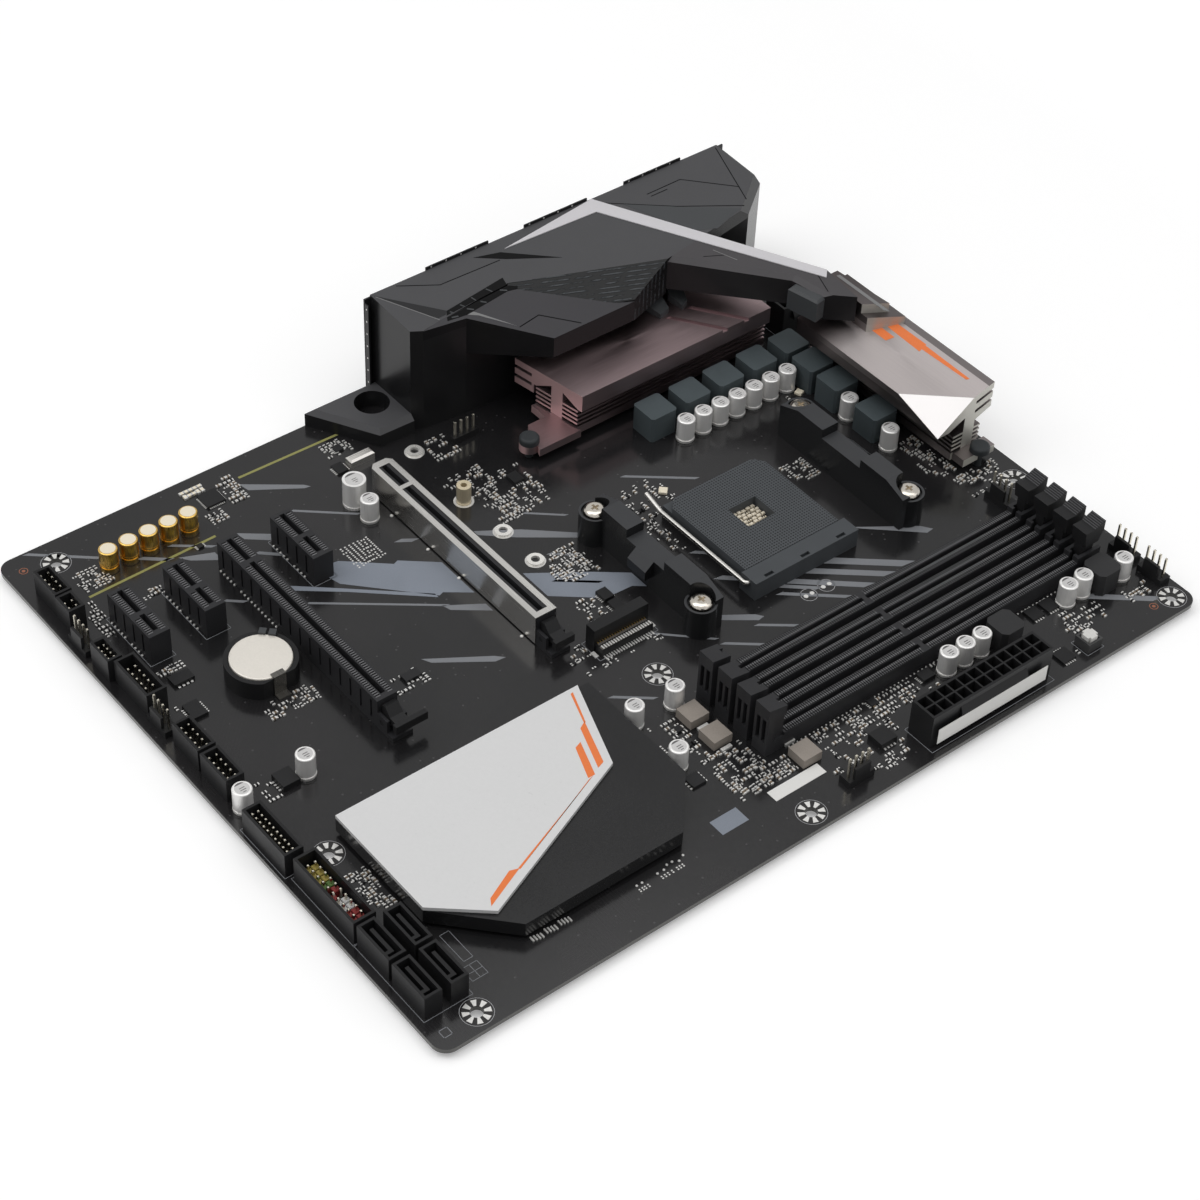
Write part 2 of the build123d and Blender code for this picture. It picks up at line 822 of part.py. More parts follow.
# ---------------------------------------------------------------- cooler brackets
bracket_names = ("cooler_bracket_lower", "cooler_bracket_upper")
for bracket_name, row_y, outward in zip(bracket_names, bracket_ys, (-1, 1)):
    pad_start = bracket_saddle_l / 2
    pad_end = pad_start + bracket_pad_l
    post_top = deck + bracket_post_h
    wall_end = bracket_screw_dx / 2 + bracket_end_l
    wall_y = row_y - outward * bracket_inset
    profile = (
        (cpu_x - wall_end, deck),
        (cpu_x - wall_end, deck + bracket_end_h),
        (cpu_x - pad_end, deck + bracket_pad_h),
        (cpu_x - pad_start, deck + bracket_pad_h),
        (cpu_x - pad_start, deck + bracket_saddle_h),
        (cpu_x + pad_start, deck + bracket_saddle_h),
        (cpu_x + pad_start, deck + bracket_pad_h),
        (cpu_x + pad_end, deck + bracket_pad_h),
        (cpu_x + wall_end, deck + bracket_end_h),
        (cpu_x + wall_end, deck),
    )
    lug_y0 = wall_y + outward * bracket_t / 2
    lug_y1 = lug_y0 + outward * bracket_lug_out
    lug_z = deck + bracket_lug_z
    lug = (
        (lug_y0, lug_z),
        (lug_y0, deck + bracket_saddle_h),
        (lug_y1, lug_z + bracket_lug_h),
        (lug_y1, lug_z),
    )
    with BuildPart() as bracket:
        along_y(profile, wall_y - bracket_t / 2, wall_y + bracket_t / 2)
        for post_x in bracket_xs:
            rod(post_x, row_y, deck, bracket_post_r, bracket_post_h + bracket_rim_h)
        for post_x in bracket_xs:
            rod(post_x, row_y, post_top, bracket_post_r - bracket_rim_t, bracket_pad_h, Mode.SUBTRACT)
            rod(post_x, row_y, deck, screw_shank_r + screw_clearance, bracket_post_h, Mode.SUBTRACT)
        along_x(lug, cpu_x - bracket_lug_l / 2, cpu_x + bracket_lug_l / 2)
    write(bracket.part, bracket_name)

with BuildPart() as cooler_backplate:
    plate_x = bracket_screw_dx + 2 * backplate_margin
    plate_y = bracket_screw_dy + 2 * backplate_margin
    slab(cpu_x, cpu_y, tail_z, plate_x, plate_y, tail_drop)
    chamfer(cooler_backplate.edges().filter_by(Axis.Z), length=backplate_margin * 0.8)
    slab(cpu_x, cpu_y, tail_z, backplate_window, backplate_window, tail_drop, Mode.SUBTRACT)
    for post_x, post_y in cooler_spots:
        rod(post_x, post_y, 0, backplate_sleeve_r, board_t)
    for post_x, post_y in cooler_spots:
        rod(post_x, post_y, tail_z, screw_shank_r + screw_clearance, tail_drop + board_t, Mode.SUBTRACT)
write(cooler_backplate.part, "cooler_backplate")

with BuildPart() as cooler_screws:
    for post_x, post_y in cooler_spots:
        rod(post_x, post_y, deck + bracket_post_h, screw_head_r, screw_head_h)
        rod(post_x, post_y, 0, screw_shank_r, deck + bracket_post_h)
    heads = cooler_screws.faces().group_by(Axis.Z)[-1].edges()
    fillet(heads, radius=screw_head_h * 0.6)
    for post_x, post_y in cooler_spots:
        recess_z = deck + bracket_post_h + screw_head_h - screw_recess_d
        slab(post_x, post_y, recess_z, 2 * screw_recess_r, 0.9, screw_recess_d, Mode.SUBTRACT)
        slab(post_x, post_y, recess_z, 0.9, 2 * screw_recess_r, screw_recess_d, Mode.SUBTRACT)
write(cooler_screws.part, "cooler_screws")

# ---------------------------------------------------------------- memory slots and latches
dimm_y1 = dimm_y0 + dimm_length
card_y0 = dimm_y0 + (dimm_length - dimm_card_l) / 2
card_y1 = card_y0 + dimm_card_l
far_y0 = dimm_y1 - dimm_far_l
pivot_y = dimm_y1 - dimm_far_l / 2
pivot_z = deck + dimm_pivot_h
body_top = deck + dimm_body_h
tower_top = deck + dimm_tower_h
cheek_top = deck + dimm_cheek_h
latch_gap = dimm_latch_w / 2 + dimm_latch_clearance
latch_gap_wall = 1.2

for n, slot_x in enumerate(dimm_xs, start=1):
    with BuildPart() as dimm_slot:
        slab(slot_x, (dimm_y0 + dimm_y1) / 2, deck, dimm_w, dimm_length, dimm_body_h)
        tower = (
            (dimm_y0, deck),
            (dimm_y0, tower_top),
            (dimm_y0 + dimm_tower_l, tower_top - dimm_tower_drop),
            (dimm_y0 + dimm_tower_l, deck),
        )
        along_x(tower, slot_x - dimm_w / 2, slot_x + dimm_w / 2)
        recess_z = (deck + dimm_foot_h, tower_top - dimm_cap_h)
        for side in (-1, 1):
            rib_x = slot_x + side * dimm_rib_w / 2
            corner_x = slot_x + side * (dimm_w / 2 - dimm_corner_w)
            side_x = slot_x + side * (dimm_w / 2 - dimm_side_recess)
            face_x = slot_x + side * dimm_w / 2
            span(min(rib_x, corner_x), max(rib_x, corner_x), dimm_y0, dimm_y0 + dimm_end_recess,
                 *recess_z, Mode.SUBTRACT)
            span(min(side_x, face_x), max(side_x, face_x), dimm_y0 + dimm_corner_l,
                 dimm_y0 + dimm_tower_l, *recess_z, Mode.SUBTRACT)
        span(slot_x - dimm_w / 2, slot_x + dimm_w / 2, far_y0, dimm_y1, deck, cheek_top)
        groove_x = (slot_x - dimm_slot_w / 2, slot_x + dimm_slot_w / 2)
        span(*groove_x, card_y0, card_y1, body_top - dimm_slot_depth, tower_top, Mode.SUBTRACT)
        span(*groove_x, dimm_key_y - dimm_key_l / 2, dimm_key_y + dimm_key_l / 2,
             body_top - dimm_slot_depth, body_top)
        span(slot_x - latch_gap, slot_x + latch_gap, far_y0 + latch_gap_wall, dimm_y1,
             deck + latch_gap_wall, cheek_top, Mode.SUBTRACT)
        rod_x(pivot_y, pivot_z, dimm_pivot_r + pivot_clearance,
              slot_x - dimm_w / 2, slot_x + dimm_w / 2, Mode.SUBTRACT)
        leads([(slot_x, y) for x, y in dimm_leads if x == slot_x])
    write(dimm_slot.part, f"dimm_slot_{n}")

    latch_top = deck + dimm_latch_h
    neck_z = deck + dimm_latch_neck_h
    with BuildPart() as dimm_latch:
        stem = (
            (pivot_y - 2.2, pivot_z - 2.2),
            (pivot_y - 2.6, neck_z),
            (pivot_y + 3.2, neck_z),
            (pivot_y + 2.2, pivot_z - 1.6),
            (pivot_y, pivot_z - 2.8),
        )
        along_x(stem, slot_x - dimm_latch_w / 2, slot_x + dimm_latch_w / 2)
        grip = (
            (pivot_y - 2.6, neck_z),
            (pivot_y - 3.6, latch_top - 1.6),
            (pivot_y + 0.6, latch_top - 1.9),
            (dimm_y1, latch_top),
            (dimm_y1, latch_top - 3.6),
            (pivot_y + 3.2, neck_z),
        )
        along_x(grip, slot_x - dimm_latch_top_w / 2, slot_x + dimm_latch_top_w / 2)
        rod_x(pivot_y, pivot_z, dimm_pivot_r, slot_x - dimm_w / 2 + 0.1, slot_x + dimm_w / 2 - 0.1)
    write(dimm_latch.part, f"dimm_latch_{n}")

# ---------------------------------------------------------------- expansion slots
slot_top = deck + slot_h


def expansion_slot(y, length):
    """Body of an expansion slot, with its keyed card groove and side ribs."""
    x1 = slot_x0 + length
    span(slot_x0, x1, y - slot_w / 2, y + slot_w / 2, deck, slot_top)
    groove = (y - slot_groove_w / 2, y + slot_groove_w / 2)
    floor_z = slot_top - slot_groove_depth
    key_x0 = slot_x0 + slot_key_x - slot_key_l / 2
    span(slot_x0 + slot_end_wall, key_x0, *groove, floor_z, slot_top, Mode.SUBTRACT)
    span(key_x0 + slot_key_l, x1 - slot_end_wall * 2, *groove, floor_z, slot_top, Mode.SUBTRACT)
    rib_count = int(length / slot_rib_pitch)
    for side in (-1, 1):
        with BuildSketch(spot(slot_x0 + length / 2, y + side * slot_w / 2, deck + 2.0)) as face:
            with GridLocations(slot_rib_pitch, 1, rib_count, 1):
                Rectangle(slot_rib_w, 2 * slot_rib_depth)
        extrude(face.sketch, amount=slot_h - slot_rib_base, mode=Mode.SUBTRACT)
    leads(slot_leads(y, length))


def slot_ears(y):
    """Foot and hinge ears at the front end of a long slot, for its card latch."""
    x1 = slot_x0 + slot_long_l
    span(x1, x1 + slot_foot_l, y - slot_w / 2, y + slot_w / 2, deck, deck + slot_foot_h)
    for side in (-1, 1):
        ear_y = y + side * (slot_w - slot_ear_t) / 2
        slab(x1 + slot_ear_l / 2, ear_y, deck, slot_ear_l, slot_ear_t, slot_ear_h)
    pin_x = x1 + slot_latch_pivot_dx
    rod_y(pin_x, deck + slot_latch_pivot_h, slot_latch_pivot_r + pivot_clearance,
          y - slot_w / 2, y + slot_w / 2, Mode.SUBTRACT)


latch_bars = zip(long_slot_ys, slot_latch_bar_outs)
for n, (row_y, bar_out) in enumerate(latch_bars, start=1):
    with BuildPart() as long_slot:
        expansion_slot(row_y, slot_long_l)
        slot_ears(row_y)
    write(long_slot.part, f"pcie_x16_slot_{n}")

    pin_x = slot_x0 + slot_long_l + slot_latch_pivot_dx
    pin_z = deck + slot_latch_pivot_h
    paddle_x = slot_x0 + slot_long_l + slot_latch_reach
    arm_half = slot_w / 2 - slot_ear_t - slot_latch_clearance
    with BuildPart() as pcie_latch:
        arm = (
            (pin_x - 1.0, pin_z - 1.5),
            (pin_x - 1.8, slot_top - 1.8),
            (pin_x + 0.2, slot_top - 1.2),
            (pin_x + 2.6, pin_z + 3.4),
            (paddle_x, pin_z + 2.6),
            (paddle_x, pin_z + 1.2),
            (pin_x + 2.6, pin_z + 0.6),
            (pin_x + 1.4, pin_z - 1.4),
        )
        along_y(arm, row_y - arm_half, row_y + arm_half)
        span(paddle_x - slot_latch_bar_t, paddle_x, row_y - slot_w / 2, row_y + bar_out,
             pin_z + 1.2, pin_z + 1.2 + slot_latch_bar_h)
        rod_y(pin_x, pin_z, slot_latch_pivot_r, row_y - slot_w / 2 + 0.1, row_y + slot_w / 2 - 0.1)
    write(pcie_latch.part, f"pcie_latch_{n}")

for n, row_y in enumerate(short_slot_ys, start=1):
    with BuildPart() as short_slot:
        expansion_slot(row_y, slot_short_l)
    write(short_slot.part, f"pcie_x1_slot_{n}")

with BuildPart() as pcie_slot_armor:
    inner_w = slot_w + 2 * armor_clearance
    outer_w = inner_w + 2 * armor_t
    armor_x0 = slot_x0 - armor_end_gap - armor_t
    armor_x1 = slot_x0 + slot_long_l - armor_clearance
    armor_top = slot_top + armor_clearance + armor_t
    span(armor_x0, armor_x1, slot_first_y - outer_w / 2, slot_first_y + outer_w / 2,
         deck + armor_lift, armor_top)
    rear_corners = pcie_slot_armor.edges().filter_by(Axis.Z).group_by(Axis.X)[0]
    chamfer(rear_corners, length=armor_corner)
    span(slot_x0 - armor_clearance, armor_x1, slot_first_y - inner_w / 2, slot_first_y + inner_w / 2,
         deck + armor_lift, slot_top + armor_clearance, Mode.SUBTRACT)
    window = (slot_first_y - armor_window_w / 2, slot_first_y + armor_window_w / 2)
    span(slot_x0 + slot_end_wall, slot_x0 + slot_key_x - slot_key_l / 2, *window,
         slot_top, armor_top, Mode.SUBTRACT)
    span(slot_x0 + slot_key_x + slot_key_l / 2, slot_x0 + slot_long_l - 2 * slot_end_wall, *window,
         slot_top, armor_top, Mode.SUBTRACT)
write(pcie_slot_armor.part, "pcie_slot_armor")

# ---------------------------------------------------------------- M.2 connector and standoffs
with BuildPart() as m2_connector:
    m2_y0 = m2_y - m2_l / 2
    m2_y1 = m2_y + m2_l / 2
    m2_top = deck + m2_h
    span(m2_x0, m2_x0 + m2_d, m2_y0, m2_y1, deck, m2_top)
    span(m2_x0 + m2_d, m2_x0 + m2_d + m2_step_d, m2_y0 + m2_step_inset, m2_y1 - m2_step_inset,
         deck, deck + m2_step_h)
    span(m2_x0, m2_x0 + m2_slot_depth, m2_y0 + m2_end_wall, m2_y1 - m2_end_wall,
         m2_top - m2_slot_drop - m2_slot_h, m2_top - m2_slot_drop, Mode.SUBTRACT)
write(m2_connector.part, "m2_connector")

with BuildPart() as m2_standoffs:
    rod(standoff_x, standoff_y, deck, standoff_r, standoff_h)
    rod(standoff_x, standoff_y, deck, standoff_bore_r, standoff_h, Mode.SUBTRACT)
    for ring_x in ring_xs:
        rod(ring_x, ring_y, deck, ring_r, ring_h)
        rod(ring_x, ring_y, deck, ring_bore_r, ring_h, Mode.SUBTRACT)
write(m2_standoffs.part, "m2_standoffs")

# ---------------------------------------------------------------- chipset and its cooler
chipset_outline = (
    (chipset_x0, chipset_y0),
    (chipset_x1 - chipset_corner_x, chipset_y0),
    (chipset_x1, chipset_y0 + chipset_corner_y),
    (chipset_x1, chipset_y1 - chipset_top_corner_y),
    (chipset_x1 - chipset_top_corner_x, chipset_y1),
    (chipset_x0, chipset_y1),
)
plate_z = deck + chipset_sink_h
chipset_land_w = chipset_chip_w + 2 * chipset_chip_margin
chipset_feet = (
    (chipset_x0 + chipset_foot_inset, chipset_y0 + chipset_foot_inset),
    (chipset_x1 - chipset_foot_inset, chipset_y1 - chipset_top_corner_y - chipset_foot_inset),
)
with BuildPart() as chipset_heatsink:
    prism(chipset_outline, deck + chipset_foot_h, plate_z)
    with BuildSketch(spot(0, 0, deck + chipset_foot_h)):
        with BuildLine():
            Polyline(*chipset_outline, close=True)
        make_face()
        offset(amount=-chipset_rim)
        with Locations((chipset_chip_x, chipset_chip_y)):
            Rectangle(chipset_land_w, chipset_land_w, mode=Mode.SUBTRACT)
    extrude(amount=chipset_sink_cavity, mode=Mode.SUBTRACT)
    for foot_x, foot_y in chipset_feet:
        rod(foot_x, foot_y, deck, chipset_foot_r, chipset_foot_h + chipset_sink_cavity)
write(chipset_heatsink.part, "chipset_heatsink")

with BuildPart() as chipset_cover_plate:
    plate_outline = (
        (chipset_x0, chipset_y0),
        (chipset_x1 - chipset_corner_x, chipset_y0),
        (chipset_plate_tip_x, chipset_plate_tip_y),
        (chipset_plate_apex_x, chipset_plate_apex_y),
        (chipset_x0, chipset_plate_left_y),
    )
    prism(plate_outline, plate_z, plate_z + chipset_plate_t)
write(chipset_cover_plate.part, "chipset_cover_plate")

# ---------------------------------------------------------------- voltage regulator
column_ys = [choke_column_y + choke_column_pitch * n for n in range(choke_column_count)]
row_xs = [choke_row_x + choke_row_pitch * n for n in range(choke_row_count)] + [choke_last_x]
with BuildPart() as vrm_chokes:
    for choke_y in column_ys:
        slab(choke_column_x, choke_y, deck, choke_w, choke_w, choke_h)
    for choke_x in row_xs:
        slab(choke_x, choke_row_y, deck, choke_w, choke_w, choke_h)
    chamfer(vrm_chokes.edges().filter_by(Axis.Z), length=choke_edge)
write(vrm_chokes.part, "vrm_chokes")

column_mid_y = (column_ys[0] + column_ys[-1]) / 2
row_mid_x = (row_xs[1] + row_xs[-1]) / 2
sink_z = deck + stage_t + pad_t
base_top = sink_z + sink_base_t

with BuildPart() as thermal_pads:
    column_l = column_ys[-1] - column_ys[0] + 2 * stage_l
    slab(core_x, column_mid_y, deck + stage_t, stage_w + pad_side * 2, column_l, pad_t)
    row_l = row_xs[-1] - row_xs[1] + 2 * stage_l
    slab(row_mid_x, top_sink_stem_y, deck + stage_t, row_l, stage_w + pad_side * 2, pad_t)
write(thermal_pads.part, "thermal_pads")

core_x0 = core_x - core_w / 2
core_x1 = core_x + core_w / 2
rear_sink_top = deck + rear_sink_top_h
rear_slab_z = rear_sink_top - rear_sink_side_h
plates_z = rear_sink_top - 3 * plate_t - 2 * plate_slot_t
plate_root_x = rear_sink_x0 + plate_slot_l + fin_gap
fin_zs = [base_top + fin_gap + n * (fin_t + fin_gap) for n in range(fin_count)]
with BuildPart() as vrm_heatsink_rear:
    span(core_x0, core_x1, rear_sink_y0, rear_sink_y1, sink_z, base_top)
    span(core_x - stem_w / 2, core_x + stem_w / 2, rear_sink_y0, rear_sink_y1, base_top, rear_sink_top)
    for fin_z in fin_zs:
        span(core_x0, core_x1, rear_sink_y0, rear_sink_y1, fin_z, fin_z + fin_t)
    slab_profile = (
        (rear_sink_x0, rear_sink_top),
        (rear_sink_x1, rear_sink_top),
        (rear_sink_x1, rear_slab_z),
        (core_x1, rear_slab_z),
        (core_x + stem_w / 2, rear_sink_top - cavity_drop),
        (core_x - stem_w / 2, rear_sink_top - cavity_drop),
        (core_x0, rear_slab_z),
        (plate_root_x, rear_slab_z),
        (plate_root_x, plates_z),
        (rear_sink_x0, plates_z),
    )
    along_y(slab_profile, rear_sink_y0, rear_sink_y1)
    for drop in (plate_t, 2 * plate_t + plate_slot_t):
        span(rear_sink_x0, rear_sink_x0 + plate_slot_l, rear_sink_y0, rear_sink_y1,
             rear_sink_top - drop - plate_slot_t, rear_sink_top - drop, Mode.SUBTRACT)
    skew = (
        (rear_sink_x0, rear_sink_y0),
        (rear_sink_x1, rear_sink_y0),
        (rear_sink_x1, rear_sink_y0 + rear_sink_skew),
    )
    prism(skew, base_top, rear_sink_top, Mode.SUBTRACT)
    for start_y in sink_groove_ys:
        groove = (
            (rear_sink_x1 - sink_groove_l, start_y),
            (rear_sink_x1, start_y + sink_groove_rise),
            (rear_sink_x1, start_y + sink_groove_rise + sink_groove_w),
            (rear_sink_x1 - sink_groove_l, start_y + sink_groove_w),
        )
        prism(groove, rear_sink_top - sink_groove_d, rear_sink_top, Mode.SUBTRACT)
    foot = (
        (rear_foot_x0, rear_sink_y0 + rear_foot_inset),
        (rear_foot_x0, rear_foot_y1),
        (rear_sink_x1, rear_foot_y0),
        (rear_sink_x1, rear_sink_y0 + rear_sink_skew),
    )
    prism(foot, sink_z, base_top)
    for pin_x, pin_y in rear_pin_spots:
        rod(pin_x, pin_y, sink_z, pin_head_r, sink_base_t)
    for pin_x, pin_y in rear_pin_spots:
        rod(pin_x, pin_y, sink_z, pin_shank_r + pin_clearance, sink_base_t, Mode.SUBTRACT)
write(vrm_heatsink_rear.part, "vrm_heatsink_rear")

front_top = deck + top_sink_front_h
rear_top = deck + top_sink_rear_h
top_slab_z = front_top - top_sink_side_h
roof_rise = (rear_top - front_top) / (top_sink_y1 - top_sink_y0)
stem_y0 = top_sink_stem_y - stem_w / 2
stem_y1 = top_sink_stem_y + stem_w / 2


def sink_roof_z(y, drop):
    """Height of the upper heatsink's leaning roof, or of a line under it."""
    return front_top + (y - top_sink_y0) * roof_rise - drop


with BuildPart() as vrm_heatsink_top:
    span(top_sink_x0, top_sink_x1, top_sink_core_y0, top_sink_y1 - top_sink_core_inset, sink_z, base_top)
    span(top_sink_x0, top_sink_x1, stem_y0, stem_y1, base_top, front_top)
    for fin_z in fin_zs:
        span(top_sink_x0, top_sink_x1, top_sink_core_y0, top_sink_y1 - top_sink_core_inset,
             fin_z, fin_z + fin_t)
    roof = (
        (top_sink_y0, top_slab_z),
        (top_sink_y0, front_top),
        (top_sink_y1, rear_top),
        (top_sink_y1, rear_top - 3 * plate_t - 2 * plate_slot_t),
        (stem_y1, top_slab_z),
        (stem_y0, front_top - cavity_drop),
        (top_sink_core_y0 - stem_w / 2, top_slab_z),
    )
    along_x(roof, top_sink_x0, top_sink_x1)
    for drop in (plate_t, 2 * plate_t + plate_slot_t):
        plate_slot = (
            (top_sink_y1 - plate_slot_l, sink_roof_z(top_sink_y1 - plate_slot_l, drop)),
            (top_sink_y1, sink_roof_z(top_sink_y1, drop)),
            (top_sink_y1, sink_roof_z(top_sink_y1, drop + plate_slot_t)),
            (top_sink_y1 - plate_slot_l, sink_roof_z(top_sink_y1 - plate_slot_l, drop + plate_slot_t)),
        )
        along_x(plate_slot, top_sink_x0, top_sink_x1, Mode.SUBTRACT)
    facet = (
        (top_sink_facet_x, top_sink_y0, front_top),
        (top_sink_x1, top_sink_y0, top_slab_z),
        (top_sink_x1, top_sink_facet_y, sink_roof_z(top_sink_facet_y, 0)),
    )
    lean_prism(facet, top_sink_rear_h, (0, 0, 1), mode=Mode.SUBTRACT)
    low_step = (
        (top_sink_x0, step_y),
        (step_low_x - step_low_slope, step_y),
        (step_low_x, top_sink_y1 - top_sink_step_inset),
        (top_sink_x0, top_sink_y1 - top_sink_step_inset),
    )
    prism(low_step, sink_roof_z(step_y, plate_t), deck + step_low_h)
    high_step = (
        (top_sink_x0, step_y),
        (step_high_x - step_high_slope, step_y),
        (step_high_x, step_high_y),
        (top_sink_x0, step_high_y - top_sink_step_inset),
    )
    prism(high_step, deck + step_low_h, deck + step_high_h)
    span(top_sink_x1, top_sink_x1 + top_sink_foot_l,
         top_sink_core_y0 + top_sink_foot_inset, top_sink_y1 - top_sink_foot_inset, sink_z, base_top)
    for pin_x, pin_y in top_pin_spots:
        rod(pin_x, pin_y, sink_z, pin_shank_r + pin_clearance, sink_base_t, Mode.SUBTRACT)
write(vrm_heatsink_top.part, "vrm_heatsink_top")

with BuildPart() as heatsink_push_pins:
    for pin_x, pin_y in rear_pin_spots + top_pin_spots:
        rod(pin_x, pin_y, base_top, pin_head_r, pin_head_h)
        rod(pin_x, pin_y, tail_z, pin_shank_r, base_top - tail_z)
    fillet(heatsink_push_pins.faces().group_by(Axis.Z)[-1].edges(), radius=pin_head_h * 0.4)
write(heatsink_push_pins.part, "heatsink_push_pins")

# ---------------------------------------------------------------- capacitors and inductors
def can(x, y, radius, height):
    """A can capacitor with a necked foot."""
    rod(x, y, deck, radius, can_foot_h)
    rod(x, y, deck + can_foot_h, radius - can_neck_depth, can_neck_h)
    rod(x, y, deck + can_foot_h + can_neck_h, radius, height - can_foot_h - can_neck_h)


with BuildPart() as polymer_capacitors:
    for n in range(vrm_can_count):
        can(vrm_can_x, vrm_can_y + vrm_can_pitch * n, can_r, can_h)
    for can_x, can_y in can_spots:
        can(can_x, can_y, can_r, can_h)
    fillet(polymer_capacitors.faces().group_by(Axis.Z)[-1].edges(), radius=can_edge)
    can(big_can_x, big_can_y, big_can_r, big_can_h)
write(polymer_capacitors.part, "polymer_capacitors")

with BuildPart() as audio_capacitors:
    for n in range(audio_can_count):
        can(audio_can_x, audio_can_y + audio_can_pitch * n, can_r, audio_can_h)
    fillet(audio_capacitors.faces().group_by(Axis.Z)[-1].edges(), radius=can_edge)
write(audio_capacitors.part, "audio_capacitors")

with BuildPart() as power_inductors:
    for coil_x, coil_y in power_choke_spots:
        slab(coil_x, coil_y, deck, power_choke_w, power_choke_w, power_choke_h)
    chamfer(power_inductors.edges().filter_by(Axis.Z), length=power_choke_edge)
    for coil_x, coil_y in inductor_spots:
        slab(coil_x, coil_y, deck, inductor_w, inductor_w, inductor_h)
write(power_inductors.part, "power_inductors")

# ---------------------------------------------------------------- integrated circuits
with BuildPart() as integrated_circuits:
    for chip_x, chip_y, size_x, size_y, height in chips:
        slab(chip_x, chip_y, deck, size_x, size_y, height)
    slab(chipset_chip_x, chipset_chip_y, deck, chipset_chip_w, chipset_chip_w, chipset_foot_h)
    for choke_y in column_ys:
        slab(core_x, choke_y, deck, stage_w, stage_l, stage_t)
    for choke_x in row_xs[1:]:
        slab(choke_x, top_sink_stem_y, deck, stage_l, stage_w, stage_t)
write(integrated_circuits.part, "integrated_circuits")

# ---------------------------------------------------------------- power connectors
def power_connector(x, y, cells, spots):
    """A two-row power connector with open cells, contacts and a locking ledge."""
    length = cells * cell_pitch + 2 * cell_wall
    width = 2 * cell_pitch + 2 * cell_wall
    top = deck + atx_h
    slab(x, y, deck, width, length, atx_h)
    with BuildSketch(spot(x, y, top - cell_depth)) as face:
        with GridLocations(cell_pitch, cell_pitch, 2, cells):
            Rectangle(cell_w, cell_w)
    extrude(face.sketch, amount=cell_depth, mode=Mode.SUBTRACT)
    with BuildSketch(spot(x, y, top - cell_depth)) as face:
        with GridLocations(cell_pitch, cell_pitch, 2, cells):
            Rectangle(contact_w, contact_w)
    extrude(face.sketch, amount=contact_h)
    ledge_y = latch_rail_share * length / 2
    face_x = x + width / 2
    ledge_z = top - latch_rail_drop
    ledge = (
        (face_x, ledge_z),
        (face_x + latch_rail_t, ledge_z - latch_rail_h * 0.7),
        (face_x + latch_rail_t, ledge_z - latch_rail_h),
        (face_x, ledge_z - latch_rail_h),
    )
    along_y(ledge, y - ledge_y, y + ledge_y)
    leads(spots)


with BuildPart() as atx_power_connector:
    power_connector(atx_x, atx_y, atx_cells, atx_leads)
write(atx_power_connector.part, "atx_power_connector")

with BuildPart() as eps_power_connector:
    power_connector(eps_x, eps_y, eps_cells, eps_leads)
write(eps_power_connector.part, "eps_power_connector")

# ---------------------------------------------------------------- coin cell and holder
coin_top = deck + coin_top_h
coin_z = coin_top - coin_t
holder_r = coin_r + holder_fit + holder_wall
with BuildPart() as battery_holder:
    rod(cell_x, cell_y, deck, holder_r, coin_top_h - holder_rim)
    rod(cell_x, cell_y, coin_z, coin_r + holder_fit, coin_t, Mode.SUBTRACT)
    span(cell_x + coin_r + holder_fit, cell_x + holder_r, cell_y - holder_r, cell_y + holder_r,
         deck, coin_top, Mode.SUBTRACT)
write(battery_holder.part, "battery_holder")

with BuildPart() as coin_cell:
    rod(cell_x, cell_y, coin_z, coin_r, coin_t)
    fillet(coin_cell.faces().group_by(Axis.Z)[-1].edges(), radius=coin_edge)
write(coin_cell.part, "coin_cell")

with BuildPart() as battery_clip:
    clip_x = cell_x + coin_r + holder_fit
    span(clip_x, clip_x + clip_t, cell_y - clip_w / 2, cell_y + clip_w / 2, deck, coin_top + clip_t)
    span(clip_x - holder_fit - clip_lip, clip_x, cell_y - clip_w / 2, cell_y + clip_w / 2,
         coin_top, coin_top + clip_t)
    span(clip_x + clip_t, clip_x + clip_foot_l, cell_y - clip_w / 2, cell_y + clip_w / 2,
         deck, deck + clip_t)
write(battery_clip.part, "battery_clip")

# ---------------------------------------------------------------- headers
def box_header(x0, x1, y0, y1, pitch, columns):
    """A shrouded two-row pin header."""
    span(x0, x1, y0, y1, deck, deck + header_h)
    span(x0 + header_wall, x1 - header_wall, y0 + header_wall, y1 - header_wall,
         deck + header_floor, deck + header_h, Mode.SUBTRACT)
    with BuildSketch(spot((x0 + x1) / 2, (y0 + y1) / 2, deck + header_floor)) as face:
        with GridLocations(pitch, pitch, columns, 2):
            Rectangle(pin_w, pin_w)
    extrude(face.sketch, amount=header_pin_h - header_floor)


def pin_row(place, count, height):
    """A row of bare pins."""
    with BuildSketch(place) as face:
        with GridLocations(fan_pin_pitch, 1, count, 1):
            Rectangle(pin_w, pin_w)
    extrude(face.sketch, amount=height)


def fan_header(x, y, turn):
    """A four-pin fan header with its guide wall, turned about the vertical."""
    place = spot(x, y, deck).rotated((0, 0, turn))
    with BuildSketch(place) as face:
        Rectangle(fan_w, fan_d)
    extrude(face.sketch, amount=fan_base_h)
    with BuildSketch(place) as face:
        with Locations((0, (fan_wall_t - fan_d) / 2)):
            Rectangle(fan_w * 0.6, fan_wall_t)
    extrude(face.sketch, amount=fan_wall_h)
    pin_row(place, 4, fan_pin_h)


with BuildPart() as box_headers:
    for header, columns in zip(small_headers, small_header_counts):
        box_header(*header, columns)
write(box_headers.part, "box_headers")

with BuildPart() as usb3_header:
    box_header(*wide_header, wide_header_count)
write(usb3_header.part, "usb3_header")

